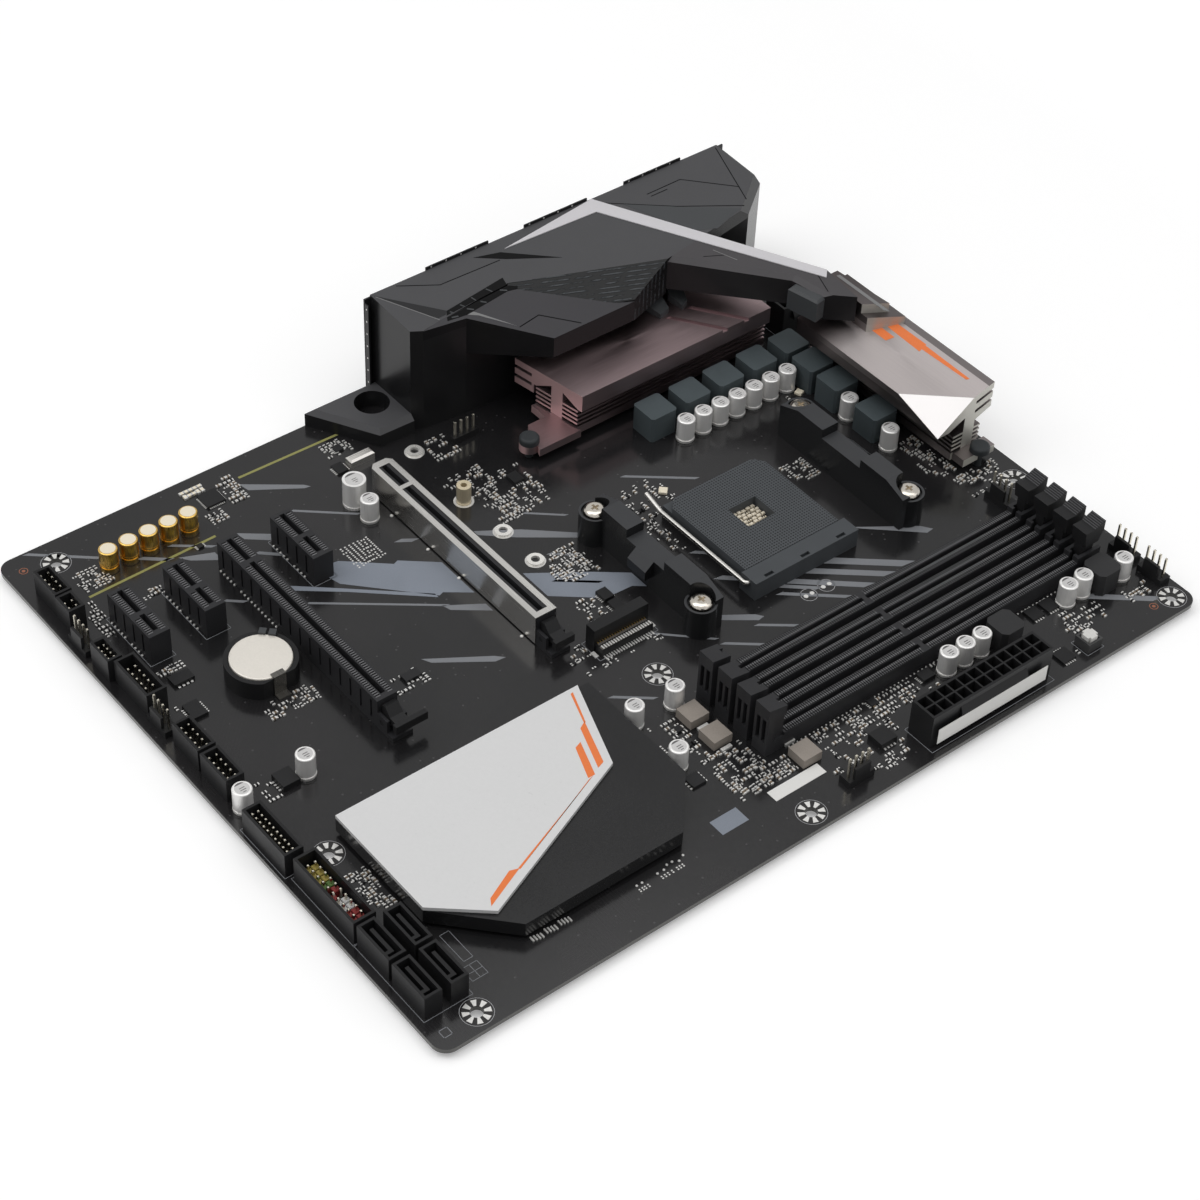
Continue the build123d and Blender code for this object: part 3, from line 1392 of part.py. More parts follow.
with BuildPart() as front_panel_header:
    box_header(*panel_header, panel_header_count)
write(front_panel_header.part, "front_panel_header")

with BuildPart() as fan_headers:
    for fan_x, fan_y in fan_spots:
        fan_header(fan_x, fan_y, 0)
    for fan_x, fan_y in fan_side_spots:
        fan_header(fan_x, fan_y, 90)
    slab(strip_x, strip_y, deck, strip_d, strip_w, strip_d)
    pin_row(spot(strip_x, strip_y, deck).rotated((0, 0, 90)), 4, strip_pin_h)
write(fan_headers.part, "fan_headers")

# ---------------------------------------------------------------- SATA ports
with BuildPart() as sata_ports:
    mouth_l = sata_l - 2 * sata_wall
    mouth_d = sata_d - 2 * sata_wall
    for column in range(2):
        for row in range(2):
            port_x = sata_x + sata_pitch_x * column
            port_y = sata_y + sata_pitch_y * row
            floor_z = deck + sata_h - sata_depth
            tip_z = deck + sata_h - sata_lead_in
            slab(port_x, port_y, deck, sata_l, sata_d, sata_h)
            slab(port_x, port_y, floor_z, mouth_l, mouth_d, sata_depth, Mode.SUBTRACT)
            tongue_y = port_y + mouth_d / 2 - sata_tongue_t * 1.2
            tongue_x0 = port_x - sata_tongue_l / 2
            tongue_x1 = port_x + sata_tongue_l / 2
            span(tongue_x0, tongue_x1, tongue_y - sata_tongue_t, tongue_y, floor_z, tip_z)
            span(tongue_x1 - sata_tongue_t, tongue_x1, tongue_y - sata_tongue_t - sata_key_l, tongue_y,
                 floor_z, tip_z)
write(sata_ports.part, "sata_ports")

# ---------------------------------------------------------------- rear ports
mouth_x = -port_overhang
usb_h = usb_rows * usb_pitch_z


def usb_mouths(y):
    """The two stacked mouths of a USB block, each with its contact tongue."""
    for n in range(usb_rows):
        mid_z = deck + usb_pitch_z * (n + 0.5)
        y0 = y - usb_mouth_w / 2
        y1 = y + usb_mouth_w / 2
        back_x = mouth_x + usb_depth
        span(mouth_x, back_x, y0, y1, mid_z - usb_mouth_h / 2, mid_z + usb_mouth_h / 2, Mode.SUBTRACT)
        span(mouth_x + usb_tongue_back, back_x, y - usb_tongue_w / 2, y + usb_tongue_w / 2,
             mid_z + 0.2, mid_z + 0.2 + usb_tongue_t)


with BuildPart() as usb_ports:
    for port_y in usb_ys:
        span(mouth_x, mouth_x + usb_d, port_y - usb_w / 2, port_y + usb_w / 2, deck, deck + usb_h)
        usb_mouths(port_y)
    leads(usb_leads)
write(usb_ports.part, "usb_ports")

lan_top = deck + usb_h + lan_h
lan_mid_z = deck + usb_h + lan_h / 2
with BuildPart() as lan_port:
    span(mouth_x, mouth_x + lan_d, lan_y - lan_w / 2, lan_y + lan_w / 2, deck, lan_top)
    usb_mouths(lan_y)
    span(mouth_x, mouth_x + lan_mouth_depth, lan_y - lan_mouth_w / 2, lan_y + lan_mouth_w / 2,
         lan_mid_z - lan_mouth_h / 2, lan_mid_z + lan_mouth_h / 2, Mode.SUBTRACT)
    span(mouth_x, mouth_x + lan_mouth_depth * 0.6, lan_y - lan_notch_w / 2, lan_y + lan_notch_w / 2,
         lan_mid_z - lan_mouth_h / 2 - lan_notch_h, lan_mid_z, Mode.SUBTRACT)
    leads(lan_leads)
write(lan_port.part, "lan_port")

video_h = video_rows * video_pitch_z
with BuildPart() as video_ports:
    span(mouth_x, mouth_x + video_d, video_y - video_w / 2, video_y + video_w / 2, deck, deck + video_h)
    for n in range(video_rows):
        mid_z = deck + video_pitch_z * (n + 0.5)
        back_x = mouth_x + video_depth
        span(mouth_x, back_x, video_y - video_mouth_w / 2, video_y + video_mouth_w / 2,
             mid_z - video_mouth_h / 2, mid_z + video_mouth_h / 2, Mode.SUBTRACT)
        span(mouth_x + usb_tongue_back, back_x, video_y - video_tongue_w / 2, video_y + video_tongue_w / 2,
             mid_z - video_tongue_t / 2, mid_z + video_tongue_t / 2)
    leads(video_leads)
write(video_ports.part, "video_ports")

ps2_y = usb_ys[-1]
ps2_z = deck + usb_h
with BuildPart() as ps2_port:
    span(mouth_x, mouth_x + ps2_d, ps2_y - ps2_w / 2, ps2_y + ps2_w / 2, ps2_z, ps2_z + ps2_w)
    rod_x(ps2_y, ps2_z + ps2_w / 2, ps2_ring_r, mouth_x, mouth_x + ps2_ring_depth, Mode.SUBTRACT)
    rod_x(ps2_y, ps2_z + ps2_w / 2, ps2_core_r, mouth_x + usb_tongue_back, mouth_x + ps2_ring_depth)
write(ps2_port.part, "ps2_port")

jack_zs = [deck + jack_pitch_z * (n + 0.5) for n in range(jack_rows)]
with BuildPart() as audio_jacks:
    for port_y in jack_ys:
        span(0, jack_d, port_y - jack_w / 2, port_y + jack_w / 2, deck, deck + jack_rows * jack_pitch_z)
        for port_z in jack_zs:
            rod_x(port_y, port_z, jack_barrel_r, mouth_x, 0)
            rod_x(port_y, port_z, jack_bore_r, mouth_x, mouth_x + jack_bore_depth, Mode.SUBTRACT)
    leads(jack_leads)
write(audio_jacks.part, "audio_jacks")

# Outlines that pass through the shield: y centre, width, bottom, top
port_windows = [(y, usb_w, deck, deck + usb_h) for y in usb_ys[:-1]]
port_windows += [
    (ps2_y, usb_w, deck, ps2_z + ps2_w),
    (lan_y, lan_w, deck, lan_top),
    (video_y, video_w, deck, deck + video_h),
]
with BuildPart() as io_shield:
    span(-shield_t, 0, shield_y0, shield_y0 + shield_l, shield_z0, shield_z0 + shield_h)
    for port_y, width, z0, z1 in port_windows:
        half = width / 2 + port_gap
        span(-shield_t, 0, port_y - half, port_y + half, z0 - port_gap, z1 + port_gap, Mode.SUBTRACT)
    for port_y in jack_ys:
        for port_z in jack_zs:
            rod_x(port_y, port_z, jack_barrel_r + port_gap, -shield_t, 0, Mode.SUBTRACT)
    vent_count = int(shield_l / shield_vent_pitch) - 2
    vent_z = shield_z0 + shield_h - shield_vent_pitch
    vent_face = Plane(origin=(-shield_t - datum_x, shield_y0 + shield_l / 2 - datum_y, vent_z),
                      x_dir=(0, 1, 0), z_dir=(1, 0, 0))
    with BuildSketch(vent_face):
        with GridLocations(shield_vent_pitch, 1, vent_count, 1):
            Circle(shield_vent_r)
    extrude(amount=shield_t, mode=Mode.SUBTRACT)
write(io_shield.part, "io_shield")

# ---------------------------------------------------------------- cover over the rear ports
wall_top = deck + cover_wall_h
beak_low = deck + beak_low_h
arm_low = deck + arm_low_h
down = (0, 0, -1)
up = (0, 0, 1)
roof_plan = (
    (0, cover_y0),
    (cover_side_x, cover_y0),
    (cover_shoulder_x, cover_shoulder_y),
    (roof_edge_x, roof_edge_y),
    (roof_notch_x, roof_notch_y),
    (roof_root_x, roof_root_y),
    (cover_bend_x, cover_bend_y),
    (cover_end_x, cover_y1),
    (0, cover_y1),
)
wall_plan = (
    (0, cover_y0),
    (cover_side_x, cover_y0),
    (cover_shoulder_x, cover_shoulder_y),
    (cover_front_x, cover_front_y),
    (cover_front_x, roof_root_y),
    (cover_bend_x, cover_bend_y),
    (cover_end_x, cover_y1),
    (0, cover_y1),
)
flange_plan = (
    (0, flange_tip_y),
    (flange_x, flange_y),
    (cover_side_x + cover_wall, cover_y0),
    (0, cover_y0),
)


def roof_z(x, y):
    """Height of the gently leaning roof, shared by the cover, the arm and the stripe."""
    return deck + cover_top_h - x * roof_slope


def beak_z(x, y):
    """Height of the beak's steeper top."""
    return deck + beak_tip_h + (beak_x - x) * beak_slope


def through(a, b, c):
    """Height function of the plane through three points."""
    normal = (Vector(*b) - Vector(*a)).cross(Vector(*c) - Vector(*a))
    return lambda x, y: a[2] - (normal.X * (x - a[0]) + normal.Y * (y - a[1])) / normal.Z


def canopy(plan, top, reach):
    """A hollow plate under a leaning top, with skirts along its sides."""
    lean_prism([(x, y, top(x, y)) for x, y in plan], reach, down)
    lean_prism([(x, y, top(x, y) - cover_wall) for x, y in plan], reach, down,
               inset=cover_wall, mode=Mode.SUBTRACT)


def clear_below(z):
    """Trim everything under a height, across the whole board."""
    span(0, board_depth, 0, board_length, z - board_depth, z, Mode.SUBTRACT)


with BuildPart() as io_shroud:
    prism(flange_plan, deck, deck + flange_h)
    flange_top = io_shroud.faces().sort_by(Axis.Z)[-1]
    flange_rim = flange_top.edges().filter_by(lambda e: e.center().Y < cover_y0 - datum_y - 1)
    chamfer(flange_rim, length=flange_chamfer)
    prism(wall_plan, deck, wall_top)
    lean_prism([(x, y, roof_z(x, y)) for x, y in roof_plan], cover_top_h - cover_wall_h, down)
    roof_face = io_shroud.faces().sort_by(Axis.Z)[-1]
    end_rim = roof_face.edges().filter_by(lambda e: e.center().Y > cover_bend_y - datum_y)
    chamfer(end_rim, length=cover_end_run, length2=cover_end_drop, reference=roof_face)
    with BuildSketch(spot(0, 0, deck)):
        with BuildLine():
            Polyline(*wall_plan, close=True)
        make_face()
        offset(amount=-cover_wall, kind=Kind.INTERSECTION)
    extrude(amount=cover_wall_h, mode=Mode.SUBTRACT)
    lean_prism([(x, y, roof_z(x, y) - cover_wall) for x, y in roof_plan], cover_top_h - cover_wall_h, down,
               inset=cover_wall, mode=Mode.SUBTRACT)
    span(0, cover_wall, cover_y0 + cover_wall, cover_y1 - cover_wall, deck, wall_top + 1, Mode.SUBTRACT)
    rod(datum_x, datum_y + hole_mid_dy, deck, flange_recess_r, flange_h, Mode.SUBTRACT)
write(io_shroud.part, "io_shroud")

beak_plan = (
    (cover_shoulder_x, cover_shoulder_y),
    (cover_front_x, cover_front_y),
    (beak_x, beak_y0),
    (beak_x, beak_y1),
    (crease_x1, crease_y1),
    (crease_x0, crease_y0),
    (roof_edge_x, roof_edge_y),
)
with BuildPart() as shroud_beak:
    canopy(beak_plan, beak_z, cover_top_h)
    clear_below(beak_low)
    prism(wall_plan, deck, wall_top, Mode.SUBTRACT)
write(shroud_beak.part, "shroud_beak")

band_z = through(
    (roof_notch_x, roof_notch_y, roof_z(roof_notch_x, roof_notch_y)),
    (roof_root_x, roof_root_y, roof_z(roof_root_x, roof_root_y)),
    (crease_x1, crease_y1, beak_z(crease_x1, crease_y1)),
)
band_plan = (
    (crease_x0, crease_y0),
    (crease_x1, crease_y1),
    (beak_x, beak_y1),
    (roof_root_x, roof_root_y),
    (roof_notch_x, roof_notch_y),
)
with BuildPart() as shroud_band:
    canopy(band_plan, band_z, cover_top_h)
    clear_below(beak_low)
    prism(wall_plan, deck, wall_top, Mode.SUBTRACT)
write(shroud_band.part, "shroud_band")

# ---------------------------------------------------------------- bridge arm and stripe
arm_plan = (
    (0, arm_apex_y),
    (roof_root_x, roof_root_y),
    (arm_elbow_x, arm_elbow_y),
    (arm_chin_x, arm_chin_y),
    (arm_nose_x, arm_nose_y),
    (arm_tip_x, arm_tip_y),
)
with BuildPart() as shroud_bridge:
    lean_prism([(x, y, roof_z(x, y)) for x, y in arm_plan], cover_top_h, down)
    arm_face = shroud_bridge.faces().sort_by(Axis.Z)[-1]
    chamfer(arm_face.edges().filter_by(is_front_rim), length=arm_edge_run, length2=arm_edge_drop,
            reference=arm_face)
    lean_prism([(x, y, roof_z(x, y) - cover_wall) for x, y in arm_plan], cover_top_h, down,
               inset=cover_wall, mode=Mode.SUBTRACT)
    clear_below(arm_low)
    prism(roof_plan, arm_low, deck + cover_top_h, Mode.SUBTRACT)
write(shroud_bridge.part, "shroud_bridge")

stripe_plan = (
    (stripe_tail_x, stripe_tail_y),
    (0.3, arm_apex_y + 0.2),
    (arm_tip_x, arm_tip_y),
    (arm_tip_x + stripe_tip_w, arm_tip_y - stripe_tip_w),
    (stripe_w + 1.0, arm_apex_y + 0.2 - stripe_w / 2),
)
with BuildPart() as shroud_stripe:
    lean_prism([(x, y, roof_z(x, y)) for x, y in stripe_plan], stripe_t, up)
write(shroud_stripe.part, "shroud_stripe")

# ---------------------------------------------------------------- flash button
button_top = deck + button_h
well_w = button_cap_w + 2 * button_side_gap
well_floor = button_top - button_stem_l - button_travel_gap
with BuildPart() as flash_button_base:
    slab(button_x, button_y, deck, button_w, button_w, button_h)
    slab(button_x, button_y, well_floor, well_w, well_w, button_top - well_floor, Mode.SUBTRACT)
write(flash_button_base.part, "flash_button_base")

with BuildPart() as flash_button_cap:
    cap_z = button_top - button_stem_l
    cap_h = button_stem_l + button_cap_rise
    slab(button_x, button_y, cap_z, button_cap_w, button_cap_arm, cap_h)
    slab(button_x, button_y, cap_z, button_cap_arm, button_cap_w, cap_h)
write(flash_button_cap.part, "flash_button_cap")
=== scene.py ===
import json
import math
import random

import bpy
from mathutils import Matrix, Vector
from mathutils.bvhtree import BVHTree


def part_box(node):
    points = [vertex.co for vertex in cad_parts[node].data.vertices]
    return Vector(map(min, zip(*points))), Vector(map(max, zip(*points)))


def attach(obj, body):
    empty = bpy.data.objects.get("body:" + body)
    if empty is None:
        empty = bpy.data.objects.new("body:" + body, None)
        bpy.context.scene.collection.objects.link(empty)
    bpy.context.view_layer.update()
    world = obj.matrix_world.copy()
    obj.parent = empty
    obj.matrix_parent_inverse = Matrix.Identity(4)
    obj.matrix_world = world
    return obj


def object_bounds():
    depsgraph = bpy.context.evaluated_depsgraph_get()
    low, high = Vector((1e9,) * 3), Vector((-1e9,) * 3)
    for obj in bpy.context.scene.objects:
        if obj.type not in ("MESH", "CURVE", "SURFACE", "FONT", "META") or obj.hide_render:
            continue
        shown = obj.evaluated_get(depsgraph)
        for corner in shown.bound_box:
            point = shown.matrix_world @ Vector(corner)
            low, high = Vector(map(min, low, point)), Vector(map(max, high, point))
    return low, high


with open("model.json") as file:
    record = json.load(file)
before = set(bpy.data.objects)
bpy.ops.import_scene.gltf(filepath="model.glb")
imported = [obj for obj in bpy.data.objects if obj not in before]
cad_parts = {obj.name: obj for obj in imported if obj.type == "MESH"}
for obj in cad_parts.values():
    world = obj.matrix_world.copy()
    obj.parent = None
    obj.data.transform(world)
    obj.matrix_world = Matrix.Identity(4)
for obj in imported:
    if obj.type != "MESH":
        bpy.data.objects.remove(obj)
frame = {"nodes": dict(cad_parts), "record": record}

CAD_LOW, CAD_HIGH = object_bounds()
MM = 0.001
DATUM_X = 10.16
DATUM_Y = 16.51
DECK = 1.6
PRINT_T = 0.03
SINK = 0.02
LAYER = PRINT_T + SINK
BED = DECK - SINK
PRINT_TOP = DECK + PRINT_T
NODES = frame["nodes"]


def at(x, y, z=DECK):
    """Board coordinates in mm to the shared frame in metres."""
    return Vector(((x - DATUM_X) * MM, (y - DATUM_Y) * MM, z * MM))


def plan(node):
    """The node's box seen from above, in board millimetres: x0, y0, x1, y1."""
    a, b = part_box(node)
    return a.x / MM + DATUM_X, a.y / MM + DATUM_Y, b.x / MM + DATUM_X, b.y / MM + DATUM_Y


def middle(a, b):
    return (a + b) / 2


def turned(degrees):
    """Cosine and sine of an angle."""
    return math.cos(math.radians(degrees)), math.sin(math.radians(degrees))


def around(x, y, radius, angle):
    """The point at an angle in radians on a circle about x, y."""
    return x + radius * math.cos(angle), y + radius * math.sin(angle)


# ---- materials
def srgb(r, g, b):
    """A colour written as 0-255 screen values, as linear light."""
    out = []
    for v in (r, g, b):
        c = v / 255
        out.append(c / 12.92 if c <= 0.04045 else ((c + 0.055) / 1.055) ** 2.4)
    return tuple(out) + (1.0,)


def shade(colour, factor):
    return tuple(min(1.0, c * factor) for c in colour[:3]) + (1.0,)


class Finish:
    """A Principled material with noise-driven colour, roughness and bump."""

    def __init__(self, name, colour, rough, metallic=0.0, specular=0.5):
        self.name = name
        self.mat = bpy.data.materials.new(name)
        self.mat.use_nodes = True
        self.tree = self.mat.node_tree
        self.bsdf = self.tree.nodes["Principled BSDF"]
        self.colour = colour
        self.rough = rough
        self.set("Metallic", metallic)
        self.set("Specular IOR Level", specular)
        self.set("Base Color", colour)
        self.set("Roughness", rough)
        self.where = self.node("ShaderNodeTexCoord").outputs["Object"]
        self.mat.diffuse_color = colour

    def set(self, socket, value):
        self.bsdf.inputs[socket].default_value = value

    def node(self, kind, **props):
        n = self.tree.nodes.new(kind)
        for key, value in props.items():
            setattr(n, key, value)
        return n

    def link(self, a, b):
        self.tree.links.new(a, b)

    def stretch(self, sx, sy, sz):
        """Object coordinates scaled per axis."""
        n = self.node("ShaderNodeMapping")
        n.inputs["Scale"].default_value = (sx, sy, sz)
        self.link(self.where, n.inputs["Vector"])
        return n.outputs["Vector"]

    def noise(self, scale, detail=3.0, where=None):
        n = self.node("ShaderNodeTexNoise")
        n.inputs["Scale"].default_value = scale
        n.inputs["Detail"].default_value = detail
        n.inputs["Roughness"].default_value = 0.55
        self.link(where or self.where, n.inputs["Vector"])
        return n.outputs["Fac"]

    def math(self, op, a, b=None, clamp=False):
        n = self.node("ShaderNodeMath", operation=op, use_clamp=clamp)
        for i, v in enumerate((a, b)):
            if v is None:
                continue
            if isinstance(v, (int, float)):
                n.inputs[i].default_value = v
            else:
                self.link(v, n.inputs[i])
        return n.outputs[0]

    def ranged(self, value, low, high, out_low=0.0, out_high=1.0):
        n = self.node("ShaderNodeMapRange")
        for key, v in (("From Min", low), ("From Max", high), ("To Min", out_low), ("To Max", out_high)):
            n.inputs[key].default_value = v
        self.link(value, n.inputs["Value"])
        return n.outputs["Result"]

    def cells(self, scale, distance="EUCLIDEAN"):
        n = self.node("ShaderNodeTexVoronoi", feature="F1", distance=distance)
        n.inputs["Scale"].default_value = scale
        self.link(self.where, n.inputs["Vector"])
        return n.outputs

    def blend(self, factor, a, b):
        """One number or the other."""
        n = self.node("ShaderNodeMix", data_type="FLOAT")
        for i, v in ((0, factor), (2, a), (3, b)):
            self.link(v, n.inputs[i])
        return n.outputs[0]

    def mix(self, factor, a, b):
        n = self.node("ShaderNodeMix", data_type="RGBA")
        self.link(factor, n.inputs["Factor"])
        for key, v in ((6, a), (7, b)):
            if isinstance(v, tuple):
                n.inputs[key].default_value = v
            else:
                self.link(v, n.inputs[key])
        return n.outputs[2]

    def drive(self, socket, output):
        self.link(output, self.bsdf.inputs[socket])

    def overlay(self, factor, colour):
        """Mixes a colour over what already drives the base colour."""
        under = self.bsdf.inputs["Base Color"].links[0].from_socket
        self.drive("Base Color", self.mix(factor, under, colour))

    def axes(self, source=None):
        n = self.node("ShaderNodeSeparateXYZ")
        self.link(source or self.where, n.inputs[0])
        return n.outputs

    def normals(self):
        return self.axes(self.node("ShaderNodeNewGeometry").outputs["Normal"])

    def normal_z(self):
        return self.normals()[2]

    def grain(self, scale, tint=0.12, rough_by=0.08, bump=0.25, depth=0.00004, where=None, detail=3.0):
        """Fine grain: a little colour variation, roughness variation and bump."""
        fac = self.noise(scale, detail, where=where)
        broad = self.noise(scale / 40, 2.0)
        both = self.math("ADD", self.math("MULTIPLY", fac, 0.6), self.math("MULTIPLY", broad, 0.4))
        spread = self.ranged(both, 0.3, 0.7)
        dark, pale = shade(self.colour, 1 - tint), shade(self.colour, 1 + tint)
        self.drive("Base Color", self.mix(spread, dark, pale))
        low = max(0.02, self.rough - rough_by)
        self.drive("Roughness", self.ranged(both, 0.3, 0.7, low, self.rough + rough_by))
        self.bump(fac, bump, depth)
        return self

    def bump(self, height, strength, depth):
        n = self.node("ShaderNodeBump")
        n.inputs["Strength"].default_value = strength
        n.inputs["Distance"].default_value = depth
        self.link(height, n.inputs["Height"])
        if self.bsdf.inputs["Normal"].is_linked:
            self.link(self.bsdf.inputs["Normal"].links[0].from_socket, n.inputs["Normal"])
        self.link(n.outputs["Normal"], self.bsdf.inputs["Normal"])


def plastic(name, rgb, rough=0.45, specular=0.35, scale=4000.0, **kw):
    return Finish(name, srgb(*rgb), rough, 0.0, specular).grain(scale, **kw)


def coat(*args, **kw):
    """The material of a plastic finish, for the added meshes."""
    return plastic(*args, **kw).mat


def top_lit(name, rgb, rough, painted_side_shade, **kw):
    """Satin plastic, polished on its upright faces, which also carry painted shade: a darker copy of the
    colour.
    """
    f = plastic(name, rgb, rough, 0.22, 2600.0, **kw)
    # painted shade: the upright faces are mixed towards a darker copy of the colour
    upright = f.ranged(f.math("ABSOLUTE", f.normal_z()), 0.35, 0.75, 1.0, 0.0)
    f.overlay(upright, shade(f.colour, painted_side_shade))
    f.drive("Roughness", f.ranged(upright, 0.0, 1.0, rough, rough * 0.6))
    return f


def brushed(name, rgb, rough, along, tint=0.16, bump=0.35):
    """Brushed metal, with its lines along one axis."""
    f = Finish(name, srgb(*rgb), rough, 1.0)
    stretch = {"x": (60, 5000, 5000), "y": (5000, 60, 5000), "z": (5000, 5000, 60)}[along]
    f.grain(1.0, tint=tint, rough_by=0.1, bump=bump, depth=0.00003, where=f.stretch(*stretch), detail=4.0)
    f.set("Anisotropic", 0.4)
    return f


def pcb_finish():
    """Black solder mask with faint traces and vias; bare laminate on the edges."""
    f = Finish("board_laminate", srgb(24, 24, 25), 0.2, 0.0, 0.5)
    x, y, _ = f.axes()
    # traces: narrow bands that turn with a low-frequency cell pattern
    pick = f.axes(f.cells(55.0, "CHEBYCHEV")["Color"])[0]
    lanes = [f.math("FRACT", f.math("MULTIPLY", along, per_metre))
             for along, per_metre in ((x, 900.0), (y, 900.0), (f.math("ADD", x, y), 640.0))]
    lane = f.blend(f.math("GREATER_THAN", pick, 0.4), lanes[0], lanes[1])
    lane = f.blend(f.math("GREATER_THAN", pick, 0.72), lane, lanes[2])
    region = f.math("GREATER_THAN", f.noise(38.0, 1.0), 0.5)
    trace = f.math("MULTIPLY", f.math("GREATER_THAN", lane, 0.72), region)
    via = f.math("LESS_THAN", f.cells(230.0)["Distance"], 0.085)
    cloud = f.ranged(f.noise(14.0, 2.0), 0.35, 0.65)
    f.drive("Base Color", f.mix(cloud, srgb(26, 26, 27), srgb(33, 32, 33)))
    f.overlay(f.math("MULTIPLY", trace, 0.3), srgb(42, 41, 42))
    f.overlay(via, srgb(60, 59, 60))
    side = f.math("LESS_THAN", f.math("ABSOLUTE", f.normal_z()), 0.5)
    f.overlay(side, f.mix(f.noise(3000.0), srgb(62, 62, 59), srgb(84, 83, 79)))
    f.drive("Roughness", f.ranged(f.noise(900.0), 0.3, 0.7, 0.14, 0.22))
    return f


def woven_finish():
    """Black band with long slanting ridges that break off here and there."""
    f = Finish("woven_band", srgb(24, 24, 26), 0.3, 0.0, 0.3)
    x, y, _ = f.axes()
    across = f.math("SUBTRACT", f.math("MULTIPLY", x, 3900.0), f.math("MULTIPLY", y, 1560.0))
    broken = f.ranged(f.noise(1.0, 2.0, where=f.stretch(560, 150, 560)), 0.42, 0.56)
    ridge = f.math("MULTIPLY", f.ranged(f.math("SINE", across), 0.1, 0.7), broken)
    f.drive("Base Color", f.mix(ridge, srgb(14, 15, 16), srgb(60, 63, 66)))
    f.drive("Roughness", f.ranged(ridge, 0.0, 1.0, 0.42, 0.26))
    f.bump(ridge, 0.8, 0.0004)
    return f


def slider_finish():
    """Grey plastic with a square grid of small pin holes on its upper face."""
    f = plastic("slider_plastic", (78, 81, 84), 0.55, 0.2, 5200.0)
    hole = f.math("GREATER_THAN", f.normal_z(), 0.5)
    for axis in f.axes()[:2]:
        wave = f.math("FRACT", f.math("MULTIPLY", axis, 960.0))
        near = f.math("LESS_THAN", f.math("ABSOLUTE", f.math("SUBTRACT", wave, 0.5)), 0.24)
        hole = f.math("MULTIPLY", hole, near)
    f.overlay(hole, srgb(16, 17, 19))
    f.bump(f.math("SUBTRACT", 1.0, hole), 0.6, 0.0002)
    return f


def ferrite_finish():
    """Brown-grey powder on the small inductors, black on the two tall ones at the upper end."""
    f = plastic("ferrite_grey", (148, 140, 132), 0.6, 0.25, 4500.0, tint=0.14, bump=0.5)
    f.overlay(f.math("GREATER_THAN", f.axes()[1], 0.18), srgb(46, 46, 47))
    return f


def standoff_finish():
    """Bright tin on the low standoffs, pale brass on the tall one."""
    f = brushed("standoff_brass", (240, 238, 233), 0.3, "z", tint=0.08, bump=0.12)
    x = f.axes()[0]
    tall = f.math("MULTIPLY", f.math("GREATER_THAN", x, 0.035), f.math("LESS_THAN", x, 0.06))
    f.overlay(tall, srgb(226, 212, 182))
    return f


def rear_sink_finish():
    """Dark rosy metal, with painted highlights on the end faces turned to -y and on the foot."""
    f = brushed("heatsink_bronze", (162, 143, 145), 0.42, "y", tint=0.16, bump=0.4)
    _, y, z = f.axes()
    # painted highlights: end faces turned to -y (below y 0.176) and up-facing faces of the low foot get a pale
    # pink, less metallic
    ends = f.ranged(f.normals()[1], -0.6, -0.9)
    ends = f.math("MULTIPLY", ends, f.math("LESS_THAN", y, 0.176))
    foot = f.math("MULTIPLY", f.normal_z(), f.math("LESS_THAN", z, 0.0066), clamp=True)
    pale = f.math("MAXIMUM", ends, foot)
    f.overlay(pale, srgb(208, 172, 172))
    f.drive("Metallic", f.ranged(pale, 0.0, 1.0, 1.0, 0.5))
    return f


def upper_sink_finish():
    """Brushed metal: darker towards the arm and on its steps; painted highlight on the chamfered corner,
    painted light on the end faces turned to +x.
    """
    f = brushed("heatsink_silver", (170, 163, 162), 0.42, "x", tint=0.1, bump=0.35)
    x, _, z = f.axes()
    skirt = f.math("LESS_THAN", z, 0.0215)
    step = f.math("GREATER_THAN", z, 0.0303)
    front, _, upward = f.normals()
    # painted highlight on the chamfered corner facet and painted light on the end faces turned to +x, both
    # made less metallic below
    facet = f.math("MULTIPLY", f.ranged(front, 0.1, 0.2), f.math("GREATER_THAN", upward, 0.5))
    ends = f.math("MULTIPLY", f.ranged(front, 0.6, 0.9), f.math("LESS_THAN", upward, 0.3))
    f.overlay(f.ranged(x, 0.088, 0.074), srgb(96, 86, 86))
    f.overlay(f.math("MULTIPLY", skirt, 0.55), srgb(92, 84, 84))
    f.overlay(f.math("MULTIPLY", step, 0.85), srgb(92, 87, 87))
    f.overlay(ends, srgb(206, 204, 196))
    f.overlay(facet, srgb(236, 233, 232))
    pale = f.math("MAXIMUM", facet, f.math("MULTIPLY", ends, 0.7))
    f.drive("Metallic", f.ranged(pale, 0.0, 1.0, 1.0, 0.35))
    return f


